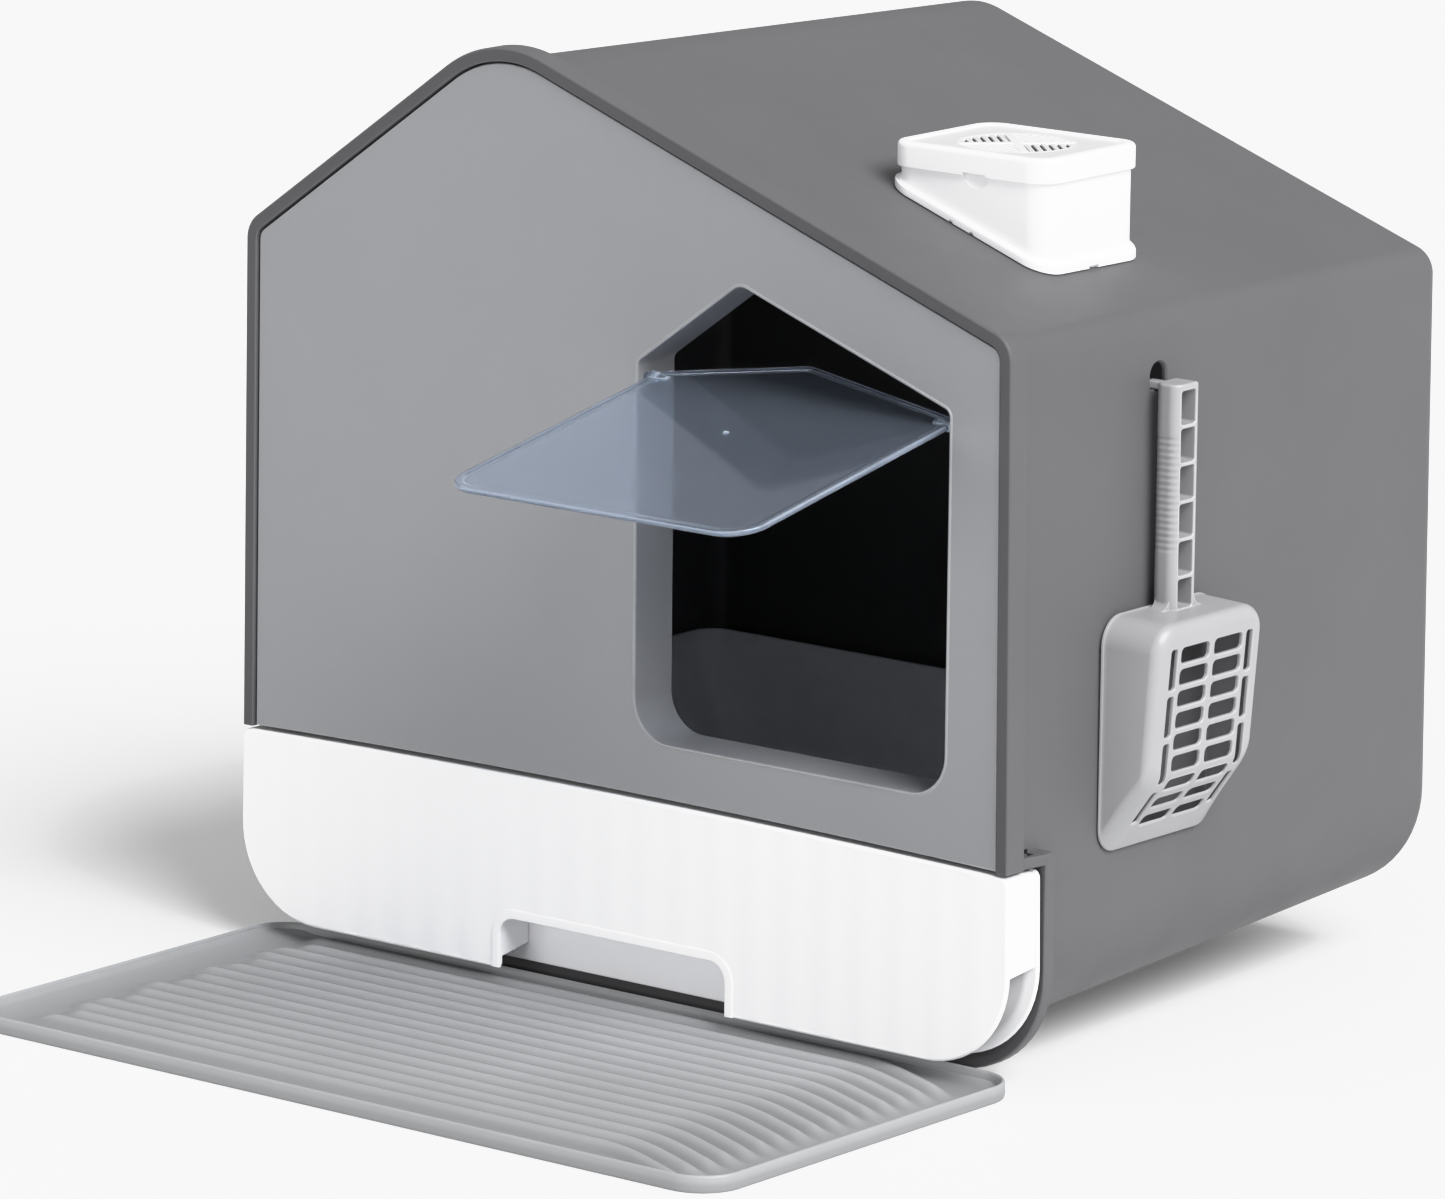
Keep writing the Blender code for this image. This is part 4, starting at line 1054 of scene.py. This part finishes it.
def grille_disc():
    """Cutter for the round opening in the lid."""
    wide = GRILLE_RADIUS + 0.0008
    section = [(GRILLE_RADIUS, LID_TOP - 0.006), (GRILLE_RADIUS, LID_TOP - 0.0016),
               (wide, LID_TOP - 0.0006), (wide, LID_TOP + 0.003)]
    return turned("opening", section, pose((*VENT_CENTRE, 0)), 64)


def thumb_dish():
    """Round dish in the box's front wall, half hidden by the lid's skirt."""
    spot = (THUMB_X, VENT_Y[0] - 0.002, LID_TOP - LID_SKIRT + 0.0015)
    section = [(0.0082, -0.003), (0.0082, 0.0022), (0.0074, 0.0032)]
    return turned("dish", section, pose(spot, "X", -pi / 2), 40)


def thumb_notch():
    """Shallow gap in the lid's skirt, above the dish."""
    x_range = (THUMB_X - 0.0078, THUMB_X + 0.0078)
    y_range = (VENT_Y[0] - LID_OVERHANG - 0.001, VENT_Y[0] + 0.0002)
    low = LID_TOP - LID_SKIRT
    return block("thumb", x_range, y_range, (low - 0.002, low + 0.0018), 0.0008)


def vent_lid():
    top, bottom = LID_TOP, LID_TOP - LID_SKIRT
    outer, inner = -LID_OVERHANG, LID_WALL - LID_OVERHANG
    border = outer + LID_BORDER
    section = [(outer + 0.0004, bottom), (outer, bottom + 0.0005), (outer, top - 0.0026)]
    section += [(outer + t, top - d) for d, t in rounding(0.0024, 6)[1:]]
    section += [(border, top), (border + 0.0006, top - 0.0002), (border + 0.001, top - 0.001),
                (border + 0.0018, top - 0.0012)]
    under = [(inner, bottom), (inner, top - LID_PLATE - 0.001), (inner + 0.001, top - LID_PLATE)]
    shape = bmesh.new()
    double_skin(shape, *([vent_ring(shape, d, z) for d, z in side] for side in (section, under)))
    lid = shaped(helper("lid", shape), [cut(grille_disc()), cut(thumb_notch())])
    present(lid, "vent_cap", "lid", "vent_white", "vent_lid")


def grille_quarter(quarter, centre, reach):
    """Parallel slats that fill one quarter of the grille: along Y behind and in front of the
    cross, and slanting beside it."""
    slant = 0 if quarter % 2 else -pi * 3 / 4
    pitch = 0.0046
    bars = []
    for row in range(-7, 8):
        x_range = (row * pitch - 0.0012, row * pitch + 0.0012)
        bar = block("bar", x_range, (-0.05, 0.05), (-0.0007, 0.0005), 0)
        bar.data.transform(pose(centre, "Z", slant))
        bars.append(bar)
    outline = [(centre.x, centre.y, 0)]
    for step in range(13):
        turn = pi / 2 * quarter + pi / 2 * (step / 12 - 0.5)
        outline.append((centre.x + reach * cos(turn), centre.y + reach * sin(turn), 0))
    wedge = plate("wedge", [outline], [(0, centre.z - 0.003), (0, centre.z + 0.003)], level)
    return shaped(wedge, [("INTERSECT", together("bars", bars))])


def vent_grille():
    """Diagonal cross and four quarters of slats inside the lid's round opening."""
    centre = Vector((*VENT_CENTRE, LID_TOP - 0.0018))
    reach = GRILLE_RADIUS + 0.0004
    outline = [(centre.x + x, centre.y + y, 0) for x, y in circle(reach, 64)]
    section = [(-0.0003, -0.0009), (-0.0003, 0.0007), (0.0009, 0.0007), (0.0009, -0.0009)]
    base = hoop("edge", outline, [(d, centre.z + z) for d, z in section], level)
    steps = []
    for diagonal in (1, 3):
        arm = block("arm", (-reach, reach), (-0.0022, 0.0022), (-0.0009, 0.0009), 0.0004)
        arm.data.transform(pose(centre, "Z", pi / 4 * diagonal))
        steps.append(add(arm))
    steps += [add(grille_quarter(quarter, centre, reach)) for quarter in range(4)]
    present(shaped(base, steps), "vent_grille", "lid", "vent_white")


# ---- scoop ----
def pan_ring(shape, height, distance):
    """Outline of the pan at one distance from the wall; its foot follows the slope to the lip."""
    share = height / SCOOP_DEPTH
    half = SCOOP_HALF - 0.0018 - 0.002 * share
    rise = max(height - 0.002, 0) / (SCOOP_DEPTH - 0.002)
    bottom = SCOOP_Z[0] + 0.0018 + (SCOOP_BEND_Z - SCOOP_Z[0]) * rise
    top = SCOOP_Z[1] - 0.0012 - 0.001 * share
    y_range = (SCOOP_Y - half - 0.0015, SCOOP_Y + half)
    corners = box_outline(y_range, (bottom, top), 0.0125, 0.015)
    return traced(shape, inset(corners, distance), 12, sideways, SCOOP_X[0] + height)


def pan_stations(depth, offset, fillet):
    stations = [(0.004, offset), (0.011, offset), (0.018, offset), (depth - fillet, offset)]
    return stations + [(depth - d, offset + t) for d, t in rounding(fillet, 7)[1:]]


def pan():
    shape = bmesh.new()
    flange = [(0.0, -0.0003), (0.0003, -0.0006), (0.0012, -0.0006), (0.0016, -0.0004),
              (0.002, -0.0001)]
    outer = flange + pan_stations(SCOOP_DEPTH, 0.0, 0.0065)
    inner = [(0.0, SCOOP_WALL)] + pan_stations(SCOOP_DEPTH - SCOOP_WALL, SCOOP_WALL, 0.0045)
    double_skin(shape, *([pan_ring(shape, h, d) for h, d in side] for side in (outer, inner)))
    return helper("pan", shape)


def slot_place(y, z, matrix):
    return lambda u, v, depth: matrix @ Vector((depth, y + u, z + v))


def slot_shapes():
    """Places and half sizes of every slot: two columns down the face and the slope, and long
    slots at both sides."""
    flat = pose((SCOOP_X[1], 0, 0))
    wide = (0.0122, 0.0042)
    columns = (SCOOP_Y - 0.0145, SCOOP_Y + 0.0145)
    side_columns = (SCOOP_Y - 0.033, SCOOP_Y + 0.033)
    slots = []
    for row in range(6):
        for y in columns:
            slots.append((flat, y, SCOOP_Z[1] - 0.0197 - row * 0.0116, wide))
    for row in range(3):
        for y in side_columns:
            slots.append((flat, y, SCOOP_Z[1] - 0.0262 - row * 0.0252, (0.0027, 0.0108)))
    low = Vector((SCOOP_X[0] + 0.002, 0, SCOOP_Z[0] + 0.0018))
    high = Vector((SCOOP_X[1], 0, SCOOP_BEND_Z + 0.0018))
    lean = atan2(high.x - low.x, high.z - low.z)
    for row in range(3):
        slope = pose(high + (low - high) * (0.1 + 0.265 * row), "Y", lean)
        for y in columns:
            slots.append((slope, y, 0, wide))
    slope = pose(high + (low - high) * 0.4, "Y", lean)
    for y in side_columns:
        slots.append((slope, y, 0, (0.0023, 0.0125)))
    return slots


def scoop_handle():
    """Bar with a round side and finger ripples."""
    y_range = (SCOOP_Y - HANDLE_HALF - 0.0008, SCOOP_Y + HANDLE_HALF)
    corners = box_outline(HANDLE_X, y_range, 0.006, 0.0016)
    foot = SCOOP_Z[1] - 0.0045
    grip = (0.2685, 0.3305)
    pitch = 0.0034
    shape = bmesh.new()
    rings = []
    count = 210
    for step in range(count + 1):
        z = foot + (HANDLE_TOP - 0.0014 - foot) * step / count
        points = []
        for x, y in rounded(corners, 8):
            side = (y - SCOOP_Y) / HANDLE_HALF
            groove = 0
            if grip[0] < z < grip[1] and side < -0.2:
                groove = 0.00045 * (0.5 - 0.5 * cos(2 * pi * (z - grip[0]) / pitch))
            points.append(Vector((x, y - side * groove, z)))
        rings.append(ring(shape, points))
    for d, t in rounding(0.0014, 5)[1:]:
        rings.append(traced(shape, inset(corners, t), 8, level, HANDLE_TOP - d))
    return stack("handle", shape, rings)


def handle_windows():
    pitch, half_y, half_z = 0.0198, 0.0061, 0.0089
    middle = SCOOP_Y + 0.0003
    windows = []
    for row in range(6):
        z = HANDLE_TOP - 0.0124 - row * pitch
        low = z - half_z if row < 5 else SCOOP_Z[1] - 0.001
        outline = box_outline((middle - half_y, middle + half_y), (low, z + half_z), 0.0014)
        profile = [(0.0003, HANDLE_X[0] + 0.0025), (0, HANDLE_X[1] - 0.0005),
                   (-0.0005, HANDLE_X[1] + 0.0001), (-0.0005, HANDLE_X[1] + 0.01)]
        windows.append(plate("window", [outline], profile, sideways, 4))
    return together("windows", windows)


def foot_fillet(side):
    """Curved gusset between the pan's top and one side of the handle."""
    root = SCOOP_Y + side * (HANDLE_HALF - 0.0008)
    top = SCOOP_Z[1] - 0.0016
    radius = 0.0062
    outline = [(root, top, 0), (root + side * (radius + 0.0008), top, 0)]
    for d, t in rounding(radius, 8):
        outline.append((root + side * (0.0008 + d), top + 0.0004 + t, 0))
    outline.append((root, top + 0.0004 + radius, 0))
    trim = 0.003 if side < 0 else 0
    profile = edge_profile(HANDLE_X[0] + trim, HANDLE_X[1] - 0.0004 - trim, 0.0002, 2)
    return plate("gusset", [outline[::side]], profile, sideways)


def scoop():
    section = [(0, -0.006), (0, -0.0009), (-0.0003, -0.0003), (-0.0009, 0.0001), (-0.0009, 0.006)]
    cutters = []
    for matrix, y, z, (half_y, half_z) in slot_shapes():
        outline = box_outline((-half_y, half_y), (-half_z, half_z), min(half_y, half_z) * 0.62)
        cutters.append(plate("slot", [outline], section, slot_place(y, z, matrix), 5))
    body = shaped(pan(), [cut(together("slots", cutters))])
    for vertex in body.data.vertices:
        share = max(vertex.co.x - SCOOP_X[0], 0) / SCOOP_DEPTH
        vertex.co.x -= SCOOP_TAPER * share * max(SCOOP_Z[1] - vertex.co.z, 0)
    handle = shaped(scoop_handle(), [cut(handle_windows())])
    y, z = SCOOP_Y, SLOT_Z[0] + GAP
    arm = block("arm", (0.244, 0.2557), (y - 0.0026, y + 0.004), (z, z + 0.004), 0.0008)
    lip = block("lip", (0.2438, 0.2462), (y - 0.0024, y + 0.0038), (z - 0.0013, z + 0.0035))
    steps = [add(other) for other in (foot_fillet(-1), foot_fillet(1), handle, arm, lip)]
    present(shaped(body, steps), "scoop_moulding", "scoop", "scoop_grey", "scoop")


# ---- entry mat ----
def smooth(value):
    value = max(0.0, min(1.0, value))
    return value * value * (3 - 2 * value)


def mat_height(x, y):
    """Floor of the mat with its ribs. They start in a soft wave at the left, and bend forwards
    at the right before they run out; the floor climbs to the rim on the left."""
    left, right = x - MAT_X[0], MAT_X[1] - x
    front, back = y - MAT_Y[0], MAT_Y[1] - y
    edge = min(left, right, front, back) - MAT_RIM_WIDTH
    floor = MAT_FLOOR + 0.003 * (1 - smooth(left / 0.034)) + 0.0012 * (1 - smooth(edge / 0.006))
    bend = 0.029 * smooth((x - (MAT_X[1] - 0.095)) / 0.095)
    first, last = MAT_Y[0] + 0.03, MAT_Y[1] - 0.014
    row = (y + bend - first) / ((last - first) / (MAT_RIBS - 1))
    start = 0.03 + 0.005 * sin(row * 1.9)
    share = smooth((left - start) / 0.016) * smooth((right - 0.013) / 0.022)
    share *= smooth((row + 0.55) * 4) * smooth((MAT_RIBS - 1 + 0.55 - row) * 4)
    wave = 0.5 + 0.5 * cos(2 * pi * row)
    return floor + MAT_RIB_HEIGHT * share * wave ** 0.6


def mat_rows():
    """(y, indent, outward normal) of each row end, dense round the corners."""
    radius = MAT_CORNER - MAT_RIM_WIDTH
    low, high = MAT_Y[0] + MAT_RIM_WIDTH, MAT_Y[1] - MAT_RIM_WIDTH
    rows = []
    arc = 20
    for step in range(arc + 1):
        turn = pi / 2 * step / arc
        normal = Vector((sin(turn), -cos(turn)))
        rows.append((low + radius * (1 - cos(turn)), radius * (1 - sin(turn)), normal))
    count = int((high - low - 2 * radius) / 0.0011)
    for step in range(1, count):
        rows.append((low + radius + (high - low - 2 * radius) * step / count, 0.0, Vector((1, 0))))
    for y, indent, normal in rows[arc::-1]:
        rows.append((low + high - y, indent, Vector((normal.x, -normal.y))))
    return rows


def entry_mat():
    shape = bmesh.new()
    rows = mat_rows()
    columns = 240
    left, right = MAT_X[0] + MAT_RIM_WIDTH, MAT_X[1] - MAT_RIM_WIDTH
    grid = []
    for y, indent, _ in rows:
        points = []
        for column in range(columns + 1):
            x = left + indent + (right - left - 2 * indent) * column / columns
            points.append(Vector((x, y, mat_height(x, y))))
        grid.append(ring(shape, points))
    skin(shape, grid, closed=False)
    loop = [(vertex, Vector((0, -1))) for vertex in grid[0][1:-1]]
    loop += [(line[-1], normal) for line, (_, _, normal) in zip(grid, rows)]
    loop += [(vertex, Vector((0, 1))) for vertex in grid[-1][-2:0:-1]]
    loop += [(line[0], Vector((-normal.x, normal.y)))
             for line, (_, _, normal) in zip(grid[::-1], rows[::-1])]
    width = MAT_RIM_WIDTH
    section = [(0.0004, 0.0056), (0.0007, MAT_RIM - 0.0016), (0.0012, MAT_RIM - 0.0006),
               (0.0019, MAT_RIM - 0.0001), (width - 0.0013, MAT_RIM),
               (width - 0.0005, MAT_RIM - 0.0004), (width - 0.0001, MAT_RIM - 0.0012),
               (width, 0.002), (width - 0.0003, 0.0005), (width - 0.001, 0.0)]
    rings = [[vertex for vertex, _ in loop]]
    for out, height in section:
        points = [Vector((v.co.x + n.x * out, v.co.y + n.y * out, height)) for v, n in loop]
        rings.append(ring(shape, points))
    skin(shape, rings)
    fill(shape, rings[-1:])
    present(helper("mat", shape), "entry_mat_moulding", "mat", "mat_grey", "entry_mat", angle=50)


# ---- stage ----
def add_camera():
    """A long lens looks down on the front right corner."""
    yaw, pitch, roll = (radians(angle) for angle in CAMERA_ANGLES)
    forward = Vector((-sin(yaw) * cos(pitch), cos(yaw) * cos(pitch), -sin(pitch)))
    right = Vector((cos(yaw), sin(yaw), 0))
    up = right.cross(forward)
    side = right * cos(roll) + up * sin(roll)
    top = up * cos(roll) - right * sin(roll)
    data = bpy.data.cameras.new("camera")
    data.sensor_width = 36
    data.lens = CAMERA_LENS
    data.clip_start, data.clip_end = 0.1, 60
    camera = add_object("camera", data)
    turn = Matrix((side, top, -forward)).transposed().to_4x4()
    camera.matrix_world = Matrix.Translation(Vector(CAMERA_SPOT) + HOUSE) @ turn
    bpy.context.scene.camera = camera


def add_light():
    """An even pale studio with one large soft light above the right."""
    scene = bpy.context.scene
    view = scene.view_settings
    view.view_transform = "Standard"
    view.use_curve_mapping = True
    tone = view.curve_mapping
    tone.white_level = [WHITE_LEVEL] * 3
    curve = tone.curves[3]
    curve.points[0].location = (0, 0)
    curve.points[-1].location = (1, 1)
    for spot in TONE_POINTS:
        curve.points.new(*spot)
    tone.update()
    world = bpy.data.worlds.new("studio")
    scene.world = world
    world.use_nodes = True
    background = world.node_tree.nodes["Background"].inputs
    background["Color"].default_value = (1, 1, 1, 1)
    background["Strength"].default_value = STUDIO_STRENGTH
    sun = bpy.data.lights.new("key", "SUN")
    sun.energy = KEY_POWER
    sun.angle = radians(KEY_SPREAD)
    key = add_object("key", sun)
    key.rotation_euler = Vector(KEY_TOWARDS).to_track_quat("Z", "Y").to_euler()
    panel = bpy.data.lights.new("fill", "AREA")
    panel.shape = "RECTANGLE"
    panel.size, panel.size_y = FILL_SIZE
    panel.energy = FILL_POWER
    fill_light = add_object("fill", panel)
    fill_light.location = FILL_SPOT
    towards = Vector(FILL_SPOT) - Vector(FILL_TARGET)
    fill_light.rotation_euler = towards.to_track_quat("Z", "Y").to_euler()


def add_floor():
    """A wide flat pale floor."""
    shape = bmesh.new()
    rings = []
    for radius, height in ((0.02, 0), (0.6, 0), (2.5, 0), (12, 0), (40, 0)):
        rings.append(ring(shape, [Vector((x, y, height)) for x, y in circle(radius, 64)]))
    skin(shape, rings)
    fill(shape, rings[:1])
    floor = helper("floor", shape)
    material = bpy.data.materials.new("pale_floor")
    material.use_nodes = True
    tree = material.node_tree
    place = tree.nodes.new("ShaderNodeTexCoord").outputs["Object"]
    shade = mixed(tree, noise_node(tree, place, 3.0, 3.0), (0.75, 0.75, 0.752), (0.77, 0.77, 0.772))
    shader = tree.nodes["Principled BSDF"]
    tree.links.new(shade, shader.inputs["Base Color"])
    shader.inputs["Roughness"].default_value = 0.7
    shader.inputs["Emission Color"].default_value = (1, 1, 1, 1)
    shader.inputs["Emission Strength"].default_value = FLOOR_GLOW
    floor.data.materials.append(material)


MATERIALS = make_materials()
add_camera()
add_light()
add_floor()
house_shell()
front_panel()
door_flap()
drawer_front()
drawer_tub()
vent_housing()
vent_lid()
vent_grille()
scoop()
entry_mat()
for node, slot in (("foot_pad_front_left", "pad_rubber"), ("foot_pad_front_right", "pad_rubber"),
                   ("foot_pad_rear_left", "pad_rubber"), ("foot_pad_rear_right", "pad_rubber"),
                   ("deodoriser_pack", "charcoal")):
    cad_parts[node].data.materials.clear()
    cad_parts[node].data.materials.append(MATERIALS[slot])
